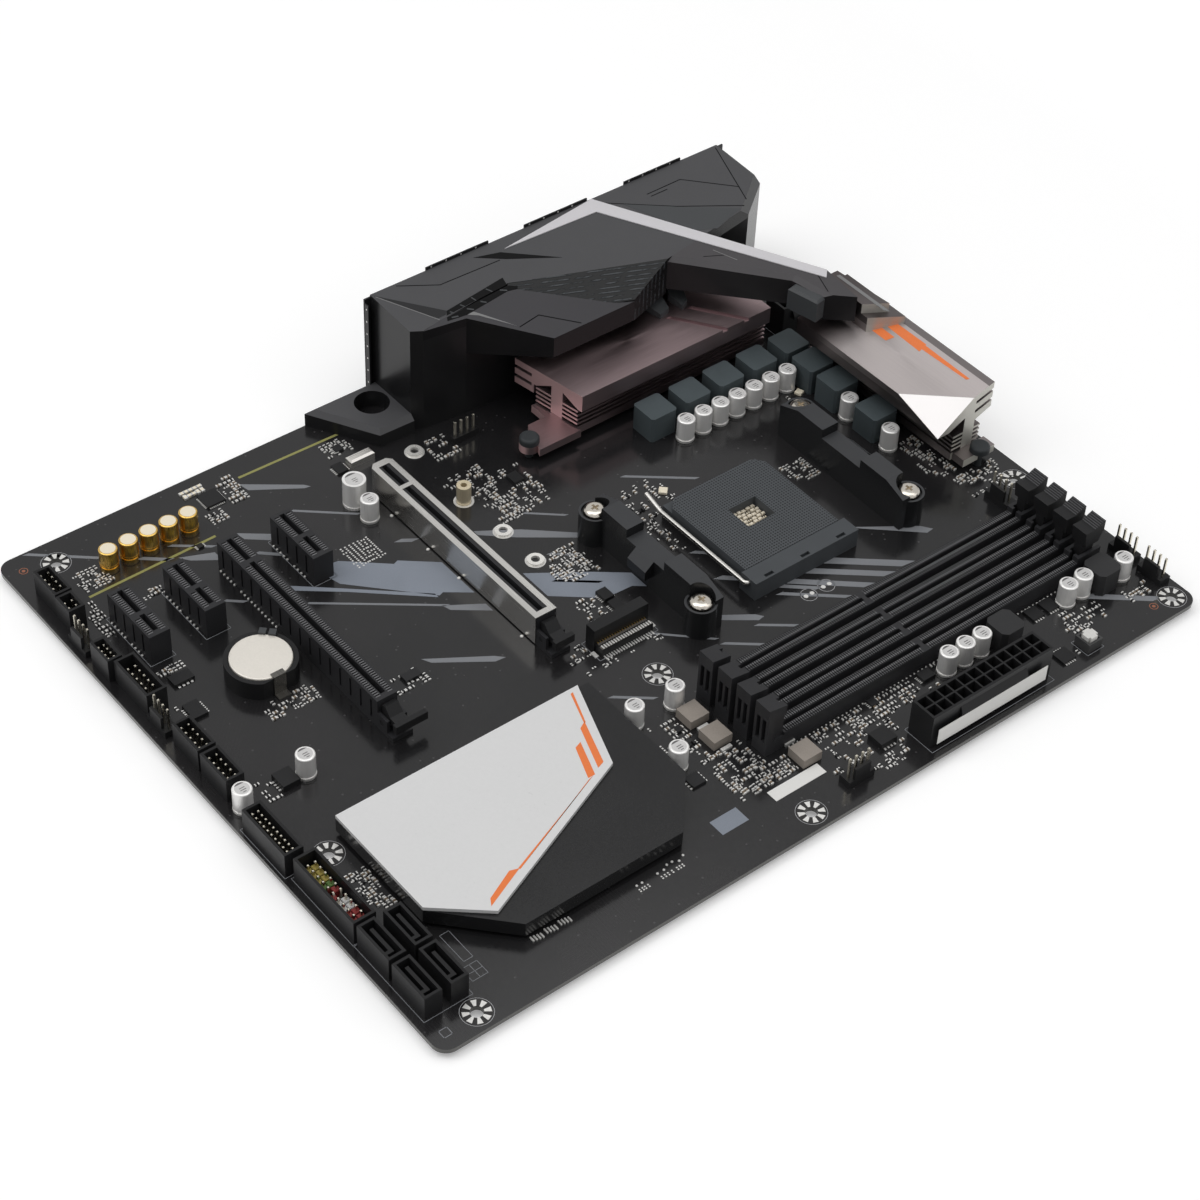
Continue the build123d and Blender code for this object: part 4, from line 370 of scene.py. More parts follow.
FINISHES = {finish.name: finish for finish in (
    pcb_finish(),
    top_lit("shroud_plastic", (74, 74, 76), 0.42, 0.2, tint=0.06, bump=0.15),
    top_lit("shroud_blade", (62, 61, 64), 0.36, 0.2, tint=0.06, bump=0.15),
    woven_finish(),
    top_lit("bridge_plastic", (72, 70, 72), 0.42, 0.3, tint=0.06, bump=0.15),
    plastic("silver_stripe", (206, 204, 207), 0.36, 0.4, 1800.0, tint=0.03, bump=0.1),
    plastic("shield_metal", (30, 30, 32), 0.38, 0.4, 3000.0, tint=0.15, bump=0.2),
    plastic("port_plastic", (24, 24, 25), 0.42, 0.25),
    brushed("port_steel", (196, 195, 192), 0.3, "x"),
    rear_sink_finish(),
    upper_sink_finish(),
    plastic("thermal_pad", (150, 154, 165), 0.8, 0.2, 1500.0),
    plastic("pin_plastic", (52, 55, 57), 0.5, 0.2),
    plastic("choke_ferrite", (72, 80, 83), 0.55, 0.2, 5200.0, tint=0.14, bump=0.4),
    ferrite_finish(),
    brushed("can_aluminium", (244, 243, 241), 0.34, "z", tint=0.05, bump=0.1),
    brushed("can_gold", (224, 186, 104), 0.28, "z", tint=0.08, bump=0.1),
    plastic("chip_epoxy", (27, 27, 28), 0.5, 0.25, 6000.0, tint=0.15, bump=0.3),
    plastic("socket_plastic", (72, 75, 78), 0.5, 0.2),
    slider_finish(),
    brushed("lever_steel", (196, 194, 190), 0.26, "x", tint=0.05, bump=0.1),
    top_lit("bracket_plastic", (60, 61, 63), 0.45, 0.3, tint=0.08, bump=0.2),
    plastic("backplate_steel", (34, 34, 36), 0.5, 0.3, 2600.0, tint=0.15, bump=0.35),
    brushed("screw_steel", (214, 208, 198), 0.2, "z", tint=0.06, bump=0.1),
    brushed("armor_steel", (216, 214, 210), 0.22, "x", tint=0.05, bump=0.08),
    plastic("connector_plastic", (30, 30, 31), 0.42, 0.2),
    standoff_finish(),
    plastic("chipset_black", (28, 28, 29), 0.22, 0.35, 1500.0, tint=0.06, bump=0.05),
    plastic("chipset_white", (216, 216, 216), 0.34, 0.4, 900.0, tint=0.02, bump=0.05),
    plastic("coin_steel", (230, 225, 216), 0.35, 0.5, 1500.0, tint=0.04, bump=0.1),
    brushed("clip_steel", (104, 102, 98), 0.3, "x"),
    plastic("slot_plastic", (45, 45, 47), 0.42, 0.2),
    plastic("latch_plastic", (32, 32, 33), 0.46, 0.2),
    plastic("button_base", (60, 60, 60), 0.4, 0.4),
    plastic("button_cap", (214, 213, 209), 0.45, 0.4),
)}
METAL_SHARES = {"coin_steel": 0.35, "can_aluminium": 0.45, "standoff_brass": 0.55, "clip_steel": 0.8}
for slot_name, share in METAL_SHARES.items():
    FINISHES[slot_name].set("Metallic", share)

SILK = coat("silk_grey", (126, 128, 132), 0.6, 0.2, 2500.0, tint=0.08, bump=0.15)
SILK_BLUE = coat("silk_blue_grey", (130, 136, 146), 0.58, 0.2, 2500.0, tint=0.1, bump=0.15)
SILK_PALE = coat("silk_pale", (168, 168, 170), 0.6, 0.2, 2500.0, tint=0.08, bump=0.15)
GOLD_LINE = coat("isolation_line", (142, 140, 84), 0.5, 0.3, 2000.0)
TIN_FINISH = brushed("tin_solder", (222, 221, 218), 0.38, "x", tint=0.12, bump=0.2)
TIN_FINISH.set("Metallic", 0.5)
TIN = TIN_FINISH.mat
GOLD = brushed("contact_gold", (222, 188, 112), 0.3, "x", tint=0.1, bump=0.15).mat
CERAMIC = coat("ceramic_tan", (112, 98, 82), 0.55, 0.3, 5000.0)
CAP_GOLD = coat("capacitor_pale_gold", (232, 222, 202), 0.45, 0.4, 5000.0)
RESIN = coat("resistor_black", (26, 26, 28), 0.4, 0.3, 5000.0)
PAPER = coat("blank_label", (226, 225, 222), 0.7, 0.2, 3000.0, tint=0.02, bump=0.1)
PIN_DARK = coat("pin_hole_dark", (10, 10, 11), 0.7, 0.1)
PIN_METAL = brushed("pin_metal", (226, 220, 204), 0.26, "z", tint=0.06, bump=0.1).mat
CONTACT = coat("contact_grey", (92, 88, 84), 0.4, 0.4)
CRYSTAL = brushed("crystal_can", (222, 219, 214), 0.3, "y", tint=0.05, bump=0.1).mat
COPPER = coat("copper_mark", (150, 96, 74), 0.45, 0.3, 3000.0)
ORANGE = coat("orange_stripe", (232, 124, 66), 0.42, 0.3, 1800.0, tint=0.05, bump=0.08)
CREAM = coat("can_top_cream", (238, 228, 206), 0.4, 0.4, 1500.0, tint=0.03, bump=0.08)
CAN_TOP = coat("can_top_grey", (204, 203, 202), 0.4, 0.4, 2500.0, tint=0.05, bump=0.08)
MARK_GREY = coat("can_mark_grey", (98, 96, 97), 0.5, 0.3, 2500.0)
PAD_DARK = coat("pad_mask", (40, 39, 39), 0.4, 0.3, 2500.0)
RIB_GREY = coat("memory_rib", (104, 104, 106), 0.45, 0.25)
RIB_DARK = coat("memory_rib_dark", (78, 78, 80), 0.45, 0.2)
GROOVE = coat("panel_groove", (9, 9, 10), 0.5, 0.1, 3000.0)
PANEL_GREY = coat("panel_grey", (66, 68, 70), 0.36, 0.25, 2600.0, tint=0.08, bump=0.15)
# painted highlight: a light grey laid along the lit edges of the cover, the beak, the arm and the heatsink
# steps
EDGE_HIGHLIGHT = coat("panel_edge_highlight", (124, 124, 124), 0.4, 0.3, 2600.0, tint=0.06, bump=0.1)
SHIELD_EDGE = coat("shield_edge", (26, 26, 28), 0.4, 0.3, 3000.0)
BLUE = coat("port_blue", (44, 84, 164), 0.45, 0.3, 2500.0)
RINGS = [coat("ring_" + name, rgb, 0.45, 0.3, 2500.0) for name, rgb in (
    ("blue", (96, 150, 206)), ("green", (126, 186, 92)), ("pink", (220, 128, 160)), ("black", (34, 34, 35)),
)]
PIN_COLOURS = [coat("pin_" + name, rgb, 0.5, 0.3, 2500.0) for name, rgb in (
    ("yellow", (150, 136, 70)), ("green", (84, 112, 60)), ("red", (132, 50, 50)), ("pale", (190, 190, 190)),
)]

for row in frame["record"]["subparts"]:
    cad = NODES[row["node"]]
    finish = FINISHES[row["material_slot"]].mat
    if not cad.material_slots:
        cad.data.materials.append(finish)
    for held in cad.material_slots:
        held.material = finish


# ---- mesh building
class Piece:
    """Collects closed solids in board millimetres and makes one object of them."""

    begun = []

    def __init__(self, name, slot="board_laminate", body="board"):
        self.begun.append(self)
        self.name = name
        self.body = body
        self.slot = slot
        self.points = []
        self.faces = []
        self.index = []
        self.mats = []

    def mat(self, material):
        if material not in self.mats:
            self.mats.append(material)
        return self.mats.index(material)

    def loft(self, rings, material):
        """Closed solid through rings of equal point count, lowest first."""
        m = self.mat(material)
        start = len(self.points)
        n = len(rings[0])
        for ring in rings:
            self.points.extend(ring)
        for k in range(len(rings) - 1):
            a = start + k * n
            for i in range(n):
                j = (i + 1) % n
                self.faces.append((a + i, a + j, a + n + j, a + n + i))
                self.index.append(m)
        top = start + (len(rings) - 1) * n
        self.faces.append(tuple(start + i for i in reversed(range(n))))
        self.faces.append(tuple(top + i for i in range(n)))
        self.index.extend((m, m))

    def box(self, x, y, z, sx, sy, sz, material, edge=0.0, turn=0.0):
        """A block standing on z, with a chamfered top, turned about the vertical in degrees."""
        c, s = turned(turn)

        def ring(inset, height):
            out = []
            for u, v in ((-1, -1), (1, -1), (1, 1), (-1, 1)):
                du = u * (sx / 2 - inset)
                dv = v * (sy / 2 - inset)
                out.append((x + du * c - dv * s, y + du * s + dv * c, height))
            return out

        rings = [ring(0, z), ring(0, z + sz - edge)]
        if edge:
            rings.append(ring(edge, z + sz))
        self.loft(rings, material)

    def slab(self, outline, material, z0=BED, z1=PRINT_TOP):
        """A prism over a plan outline. Either height may be a function of x and y."""
        if area(outline) < 0:
            outline = outline[::-1]
        levels = [z if callable(z) else (lambda x, y, z=z: z) for z in (z0, z1)]
        self.loft([[(x, y, level(x, y)) for x, y in outline] for level in levels], material)

    def band(self, x0, y0, x1, y1, width, material, z0=BED, z1=PRINT_TOP, slant=0.0):
        """A straight strip of one width between two points, its ends cut square or slanting."""
        length = math.hypot(x1 - x0, y1 - y0)
        dx, dy = -(y1 - y0) / length * width / 2, (x1 - x0) / length * width / 2
        ex, ey = dy * slant, -dx * slant
        self.slab([(x0 + dx + ex, y0 + dy + ey), (x0 - dx - ex, y0 - dy - ey), (x1 - dx - ex, y1 - dy - ey),
                  (x1 + dx + ex, y1 + dy + ey)], material, z0, z1)

    def disc(self, x, y, z, radius, height, material, sides=16, edge=0.0):
        def ring(r, h):
            return [around(x, y, r, 2 * math.pi * i / sides) + (h,) for i in range(sides)]

        rings = [ring(radius, z), ring(radius, z + height - edge)]
        if edge:
            rings.append(ring(radius - edge, z + height))
        self.loft(rings, material)

    def hoop(self, place, outer, inner, depth, material, sides):
        """A ring with a square section. place(c, s, d) turns two offsets and a depth into a point."""
        m = self.mat(material)
        start = len(self.points)
        for i in range(sides):
            angle = 2 * math.pi * i / sides
            for r, d in ((inner, 0.0), (outer, 0.0), (outer, depth), (inner, depth)):
                self.points.append(place(r * math.cos(angle), r * math.sin(angle), d))
        for i in range(sides):
            j = (i + 1) % sides
            for k in range(4):
                l = (k + 1) % 4
                a, b = start + 4 * i, start + 4 * j
                self.faces.append((a + k, b + k, b + l, a + l))
                self.index.append(m)

    def annulus(self, x, y, z, outer, inner, height, material, sides=32):
        """A ring lying flat."""
        self.hoop(lambda c, s, d: (x + c, y + s, z + d), outer, inner, height, material, sides)

    def ring_x(self, x, y, z, outer, inner, depth, material):
        """A ring facing along x."""
        self.hoop(lambda c, s, d: (x + d, y + c, z + s), outer, inner, depth, material, 24)

    def inlay(self, outline, height, material, rise=0.06):
        """A thin plate that follows a height over the plan and rises a little above it."""
        self.slab(outline, material, lambda x, y: height(x, y) - 0.05, lambda x, y: height(x, y) + rise)

    def groove(self, points, height, width, material, rise=0.06):
        """A thin line through points, on a height over the plan."""
        for (x0, y0), (x1, y1) in zip(points, points[1:]):
            self.band(x0, y0, x1, y1, width, material, lambda x, y: height(x, y) - 0.05,
                      lambda x, y: height(x, y) + rise)

    def outline(self, x0, y0, x1, y1, width, material, z0=BED, z1=PRINT_TOP):
        """Four strips round a rectangle."""
        for ends in ((x0, y0, x1, y0), (x0, y1, x1, y1), (x0, y0, x0, y1), (x1, y0, x1, y1)):
            self.band(*ends, width, material, z0, z1)

    def build(self):
        mesh = bpy.data.meshes.new(self.name)
        mesh.from_pydata([at(*p) for p in self.points], [], self.faces)
        for m in self.mats:
            mesh.materials.append(m)
        mesh.polygons.foreach_set("material_index", self.index)
        mesh.update()
        obj = bpy.data.objects.new(self.name, mesh)
        bpy.context.scene.collection.objects.link(obj)
        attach(obj, self.body)


def area(outline):
    return sum(a[0] * b[1] - b[0] * a[1] for a, b in zip(outline, outline[1:] + outline[:1])) / 2


# ---- printed stripes on the board
stripes = Piece("board_stripes")
for outline in (
    [(12.4, 85), (16.8, 85.9), (27, 101.6), (27.4, 103.8), (25.4, 102.4)],
    [(115.8, 85.4), (119, 87), (130.5, 103.5), (130.9, 107.3), (128.2, 104.6)],
    [(31.3, 49.4), (34.8, 52), (40.6, 60.4), (36, 60.4)],
    [(77.5, 134.3), (79.9, 134.3), (88.4, 144), (101, 161), (98.3, 161.5), (86, 147.4)],
    [(149.2, 235.5), (152.6, 239), (167.2, 255.4), (166.9, 258.4), (163.3, 255.8)],
    [(155.6, 173), (158.2, 172.6), (165.6, 182.6), (165.2, 185.2), (162.8, 183.4)],
    [(32.2, 70.8), (36.4, 71.6), (44, 80.8), (40, 80.8)],
    [(100, 105), (103.3, 106), (111.6, 116.8), (107.6, 116.8)],
):
    stripes.slab(outline, SILK)
for outline in (
    [(62.5, 86.6), (67.4, 83.2), (72.4, 84.6), (95.8, 107.1), (95.2, 108.9), (101.3, 117), (83.5, 117),
     (74.3, 105.9), (75, 104), (63.2, 90.4)],
    [(103.3, 135), (116.6, 135), (128.4, 149.5), (129, 160), (134.6, 167), (126.6, 167), (116, 153.5)],
    [(51, 78.6), (54, 78), (61, 86), (59, 88)],
    [(63.6, 71), (66.4, 71), (77, 84.4), (96.2, 106.4), (94.2, 106.4), (75, 84.4)],
):
    stripes.slab(outline, SILK_BLUE)
for x0, y0, x1, y1, width in (
    (0.8, 10.6, 16.5, 29.2, 1.2),
    (33.6, 91.6, 48.4, 109.0, 1.0),
    (24.1, 39.3, 30.6, 47.0, 1.5),
    (24.7, 50.4, 33.6, 61.8, 1.1),
    (56.9, 50.4, 61.6, 55.8, 1.1),
    (73.6, 71.0, 101.0, 106.6, 0.9),
    (66.5, 111.5, 69.8, 116.4, 1.6),
    (44.0, 71.0, 50.8, 78.4, 1.4),
    (100.8, 147.7, 107.6, 155.8, 1.1),
    (80.0, 153.0, 89.4, 164.0, 0.9),
    (85.0, 191.3, 100.8, 211.3, 1.1),
    (155.8, 217.2, 174.6, 240.0, 3.0),
    (155.8, 208.8, 174.6, 231.6, 2.6),
    (151.6, 195.6, 174.6, 222.6, 2.4),
    (150.0, 190.0, 166.0, 208.4, 1.6),
    (160.0, 196.0, 174.6, 213.4, 1.4),
    (142.4, 185.0, 150.2, 194.0, 2.0),
    (128.0, 186.0, 134.4, 193.4, 1.4),
    (166.7, 180.5, 174.6, 190.8, 1.1),
    (166.7, 166.3, 174.6, 176.2, 1.1),
    (220.0, 275.5, 235.4, 294.2, 2.4),
    (145.6, 146.6, 164.2, 166.2, 0.9),
    (164.1, 122.7, 173.0, 133.8, 1.1),
    (112.0, 141.0, 121.6, 153.0, 1.0),
):
    stripes.band(x0, y0, x1, y1, width, SILK, slant=1.6)

lines = Piece("isolation_lines")
lines.band(9.6, 86.7, 10.4, 126.4, 1.0, GOLD_LINE)
lines.band(30.4, 16.8, 29.5, 64.9, 1.0, GOLD_LINE)

# ---- mounting hole pads
HOLES = [(10.16, 16.51), (33.02, 298.45), (165.1, 16.51), (237.49, 16.51), (165.1, 140.97), (237.49, 140.97),
         (165.1, 298.45), (237.49, 298.45)]
pads = Piece("mounting_pads")
for hole_x, hole_y in HOLES:
    for face_z, petal_low, petal_high in ((BED, BED, DECK + 0.12), (-PRINT_T, -0.12, SINK)):
        pads.annulus(hole_x, hole_y, face_z, 4.5, 2.02, LAYER, PAD_DARK)
        for k in range(8):
            a = 2 * math.pi * (k + 0.5) / 8
            petal = [around(hole_x, hole_y, r, a + da)
                     for r, da in ((2.1, -0.18), (4.3, -0.21), (4.3, 0.21), (2.1, 0.18))]
            pads.slab(petal, TIN, petal_low, petal_high)
    pads.annulus(hole_x, hole_y, BED, 5.0, 4.85, LAYER, SILK_PALE)

# ---- blank labels and print blocks
labels = Piece("blank_labels")
labels.slab([(223.6, 135.4), (228.0, 135.4), (228.0, 155.6), (223.6, 155.6)], PAPER, BED, DECK + 0.12)
labels.slab([(222.4, 113.8), (228.6, 113.8), (228.6, 124.0), (222.4, 124.0)], SILK_BLUE)
label_x = plan("atx_power_connector")[2]
labels.slab([(label_x - 0.05, 189.2), (label_x + 0.1, 189.2), (label_x + 0.1, 236.2),
            (label_x - 0.05, 236.2)], PAPER, 3.6, 9.8)

# ---- corners and tips of the CAD nodes
def corners(node):
    """The node's mesh points in board millimetres."""
    cad = NODES[node]
    move = cad.matrix_world
    out = []
    for vertex in cad.data.vertices:
        p = move @ vertex.co
        out.append((p.x / MM + DATUM_X, p.y / MM + DATUM_Y, p.z / MM))
    return out


def tips(node, low_z, high_z, reach):
    """Centres of the flat faces between two heights that are no wider than a reach, in a fixed order."""
    cad = NODES[node]
    points = corners(node)
    parent = {}

    def root(key):
        while parent[key] != key:
            key = parent[key]
        return key

    for face in cad.data.polygons:
        keys = [tuple(round(v, 2) for v in points[i]) for i in face.vertices]
        if not all(low_z <= key[2] <= high_z for key in keys):
            continue
        for key in keys:
            parent.setdefault(key, key)
        for key in keys[1:]:
            parent[root(key)] = root(keys[0])
    groups = {}
    for key in sorted(parent):
        groups.setdefault(root(key), []).append(key)
    centres = []
    for group in groups.values():
        xs = [p[0] for p in group]
        ys = [p[1] for p in group]
        if max(max(xs) - min(xs), max(ys) - min(ys)) <= reach:
            centres.append(((min(xs) + max(xs)) / 2, (min(ys) + max(ys)) / 2))
    return sorted(centres)


TAIL_END = (-2.05, -1.95)
PIN_END = (9.1, 9.3)
PIN_REACH = 0.8


def node_top(node):
    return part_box(node)[1].z / MM


# ---- small surface-mount parts
class Crowd:
    """Knows where the CAD nodes stand, so that small parts keep clear of them."""

    def __init__(self):
        points = []
        faces = []
        for name in sorted(NODES):
            if name == "pcb":
                continue
            start = len(points)
            points.extend(Vector(p) for p in corners(name))
            faces.extend(tuple(start + i for i in f.vertices) for f in NODES[name].data.polygons)
        self.tree = BVHTree.FromPolygons(points, faces)

    def free(self, x, y, room=1.5):
        return self.tree.find_nearest(Vector((x, y, DECK + 0.3)), room)[0] is None


CROWD = Crowd()


def chip_part(piece, x, y, turn, body, length, width, height):
    """A two-ended part: a block between two solder ends."""
    c, s = turned(turn)
    piece.box(x, y, BED, length * 0.62, width, height + SINK, body, 0.04, turn)
    off = length * 0.36
    for side in (-1, 1):
        piece.box(x + side * off * c, y + side * off * s, BED, length * 0.3, width * 1.12,
                  height * 1.04 + SINK, TIN, 0.06, turn)


def gull_part(piece, x, y, turn, sx, sy, height, count):
    """A small body with solder leads along its two long sides."""
    c, s = turned(turn)
    if height:
        piece.box(x, y, BED, sx, sy, height + SINK, RESIN, 0.08, turn)
    for k in range(count):
        u = (k - (count - 1) / 2) * sx / count
        for v in (-1, 1):
            dv = v * (sy / 2 + 0.35)
            piece.box(x + u * c - dv * s, y + u * s + dv * c, BED, sx / count * 0.5, 0.8, 0.22, TIN, turn=turn)


def pad_pair(piece, x, y, turn):
    c, s = turned(turn)
    for side in (-1, 1):
        piece.box(x + side * 0.5 * c, y + side * 0.5 * s, BED, 0.5, 0.6, 0.06 + SINK, TIN, turn=turn)


# x0, x1, y0, y1 in mm, how many of the places are filled, and the kind:
# c cream, r resistors, p pads, m mixed
CLUSTERS = {
    "smd_audio": (
        (4.7, 9.1, 66.0, 74.3, 1.0, "c"), (6.3, 20.2, 78.0, 84.9, 0.72, "m"),
        (19.0, 25.0, 67.0, 73.8, 0.75, "m"), (18.6, 28.6, 17.0, 27.7, 0.85, "m"),
        (12.4, 20.2, 116.5, 126.6, 0.55, "r"), (38.6, 42.4, 29.9, 37.7, 0.8, "m"),
        (30.0, 50.0, 11.5, 16.5, 0.6, "r"), (58.6, 70.2, 93.2, 104.9, 0.95, "p"),
    ),
    "smd_lower": (
        (72.0, 75.0, 16.0, 25.0, 0.9, "m"), (88.0, 97.0, 11.6, 20.8, 0.55, "r"),
        (103.6, 111.3, 33.2, 51.6, 0.8, "m"), (117.4, 125.2, 67.0, 83.0, 0.45, "r"),
        (129.0, 139.0, 14.0, 20.0, 0.6, "r"), (175.2, 192.4, 14.5, 22.1, 0.75, "m"),
        (176.0, 198.0, 12.6, 14.6, 0.5, "p"),
    ),
    "smd_slots": (
        (31.3, 42.8, 145.6, 155.4, 0.5, "m"), (51.3, 64.7, 139.3, 155.4, 0.42, "m"),
        (69.0, 81.3, 144.3, 156.0, 0.68, "m"), (106.3, 115.2, 141.6, 156.0, 0.85, "m"),
        (124.0, 138.0, 138.6, 147.4, 0.6, "m"), (150.2, 153.4, 122.7, 153.0, 0.25, "m"),
        (140.2, 147.0, 122.0, 129.5, 0.6, "m"), (181.3, 201.3, 119.3, 124.3, 0.3, "p"),
    ),
    "smd_memory": (
        (182.4, 194.7, 127.0, 132.6, 0.66, "m"), (193.6, 222.4, 127.0, 143.0, 0.58, "m"),
        (212.6, 222.4, 129.0, 156.0, 0.6, "m"), (213.6, 221.7, 161.5, 204.0, 0.68, "m"),
        (221.6, 228.4, 162.0, 186.0, 0.35, "m"), (229.0, 239.0, 157.0, 183.8, 0.4, "m"),
        (213.0, 222.4, 205.0, 214.0, 0.5, "m"), (220.8, 231.5, 258.8, 276.5, 0.6, "m"),
        (232.0, 240.4, 252.0, 256.0, 0.4, "m"),
    ),
    "smd_processor": (
        (113.3, 124.0, 236.3, 248.6, 0.6, "m"), (91.0, 107.6, 180.5, 200.0, 0.32, "m"),
        (58.0, 80.0, 147.0, 166.5, 0.4, "m"), (100.8, 117.0, 144.0, 157.0, 0.55, "m"),
        (127.5, 150.0, 276.0, 286.0, 0.6, "m"), (152.5, 164.0, 281.0, 299.7, 0.6, "m"),
        (214.0, 236.0, 286.0, 298.0, 0.28, "m"), (84.0, 98.0, 262.0, 273.0, 0.25, "m"),
        (108.0, 126.0, 176.0, 186.0, 0.35, "m"),
    ),
}
SMD_PITCH = 2.0
for number, (name, regions) in enumerate(sorted(CLUSTERS.items())):
    rng = random.Random(100 + number)
    small = Piece(name)
    for x0, x1, y0, y1, share, kind in regions:
        columns = max(1, round((x1 - x0) / SMD_PITCH))
        rows = max(1, round((y1 - y0) / (SMD_PITCH * 0.8)))
        upright = rng.random() < 0.5
        for i in range(columns):
            for j in range(rows):
                x = x0 + (i + 0.5) * (x1 - x0) / columns
                y = y0 + (j + 0.5) * (y1 - y0) / rows
                draw = rng.random()
                pick = rng.random()
                turn = 90.0 if upright != (rng.random() < 0.25) else 0.0
                if draw > share or not CROWD.free(x, y):
                    continue
                if kind == "p":
                    pad_pair(small, x, y, turn)
                elif kind == "c":
                    chip_part(small, x, y, turn, CREAM, 1.9, 1.1, 0.8)
                elif kind == "r" or pick < 0.5:
                    chip_part(small, x, y, turn, RESIN, 1.6, 0.85, 0.45)
                elif pick < 0.8:
                    chip_part(small, x, y, turn, CERAMIC, 1.65, 0.9, 0.65)
                elif pick < 0.93:
                    pad_pair(small, x, y, turn)
                else:
                    gull_part(small, x, y, turn, 1.5, 0.9, 0.7, 2)

# ---- leads of the larger chips, crystals, test pads
chips = Piece("chip_leads")
for x, y, turn, span_u, off, count in (
    (79.0, 20.5, 90, 6.0, 2.7, 4), (93.2, 16.6, 0, 5.6, 3.1, 6), (134.0, 22.6, 0, 5.0, 3.5, 4),
    (228.2, 178.4, 90, 5.2, 3.5, 4), (216.5, 262.5, 90, 4.2, 2.9, 4), (216.5, 255.8, 90, 4.2, 2.9, 4),
    (236.0, 249.8, 90, 4.6, 3.1, 5), (216.2, 208.0, 0, 3.2, 2.9, 5), (65.0, 161.0, 90, 3.4, 2.8, 4),
    (127.6, 149.7, 0, 4.0, 2.3, 5), (133.6, 149.7, 0, 4.0, 2.3, 5), (13.5, 73.5, 0, 6.0, 3.7, 9),
    (13.5, 73.5, 90, 6.0, 3.7, 9), (26.0, 116.5, 0, 4.0, 2.4, 5),
):
    gull_part(chips, x, y, turn, span_u, 2 * (off - 0.35), 0.0, count)
for x, y, sx, sy, height in (
    (17.1, 121.8, 3.0, 3.0, 0.9), (120.2, 78.2, 3.5, 6.0, 1.2), (207.0, 121.0, 5.0, 5.0, 1.0),
    (31.0, 58.0, 2.0, 2.0, 0.8), (200.4, 137.6, 3.2, 3.0, 1.0), (214.8, 186.6, 3.0, 3.0, 1.0),
    (187.6, 130.6, 2.6, 2.4, 0.9), (236.0, 168.0, 4.0, 7.0, 1.2),
):
    if CROWD.free(x, y, max(sx, sy) / 2):
        gull_part(chips, x, y, 90 if sy > sx else 0, max(sx, sy), min(sx, sy), height, 4)
chips.box(26.5, 124.5, BED, 3.6, 9.6, 3.3, CRYSTAL, 0.7)
chips.box(99.2, 197.5, BED, 3.0, 3.0, 0.9, CREAM, 0.15, 45.0)
chips.box(87.0, 269.5, BED, 2.6, 2.6, 1.0, CREAM, 0.15, 20.0)
for x, y in ((166.3, 211.0), (166.3, 203.5)):
    chips.annulus(x, y, BED, 2.9, 2.7, LAYER, SILK_PALE)
    for off in (-1.3, 1.3):
        chips.disc(x, y + off, BED, 0.8, 0.14, TIN)
for x, y in ((7.4, 6.2), (237.0, 290.5)):
    chips.annulus(x, y, BED, 1.5, 1.25, LAYER, COPPER)
    chips.disc(x, y, BED, 0.6, LAYER, COPPER)
for sx, sy in ((1, 0), (-1, 0), (0, 1), (0, -1)):
    chips.box(238.0 + sx * 1.4, 5.4 + sy * 1.4, BED, 0.25 if sx else 3.0, 0.25 if sy else 3.0,
              LAYER, SILK)
for k in range(3):
    for j in range(4):
        chips.box(226.3 + j * 0.2, 44.4 + k * 5.0 + j * 1.05, BED, 1.9, 0.5, 0.5, TIN)
for y in (80.9, 82.9, 88.7, 91.1, 93.0, 95.0, 96.9, 99.2):
    chips.disc(227.6 + (y * 10 % 2), y, BED, 0.42, 0.3, TIN, 10, 0.1)
for y in (80.6, 81.7, 82.6, 83.8, 88.9, 90.1, 91.3, 92.8, 94.7, 95.7, 96.8):
    for x in (230.2, 231.0):
        chips.box(x, y, BED, 0.45, 0.5, 0.16, TIN)

# ---- printed outlines around the parts
outlines = Piece("printed_outlines")
for node, margin in (
    ("pcie_x1_slot_1", 0.8), ("pcie_x1_slot_2", 0.8), ("pcie_x1_slot_3", 0.8), ("atx_power_connector", 0.7),
    ("m2_connector", 0.9), ("front_panel_header", 0.6), ("usb3_header", 0.6), ("sata_ports", 0.8),
    ("eps_power_connector", 0.7), ("flash_button_base", 0.6),
):
    x0, y0, x1, y1 = plan(node)
    outlines.outline(x0 - margin, y0 - margin, x1 + margin, y1 + margin, 0.22, SILK)
outlines.outline(209.4, 24.2, 221.0, 27.4, 0.2, SILK)
outlines.outline(222.8, 22.0, 228.2, 27.4, 0.2, SILK)
outlines.band(225.5, 22.0, 225.5, 27.4, 0.2, SILK)
outlines.band(222.8, 24.7, 228.2, 24.7, 0.2, SILK)

# ---- standoffs: solder collars
collars = Piece("standoff_collars", "standoff_brass")
for x, y in ((83.5, 142.0), (101.0, 142.0), (33.5, 142.0), (63.6, 140.6)):
    collars.annulus(x, y, BED, 3.5, 2.6, LAYER + 0.06, TIN)

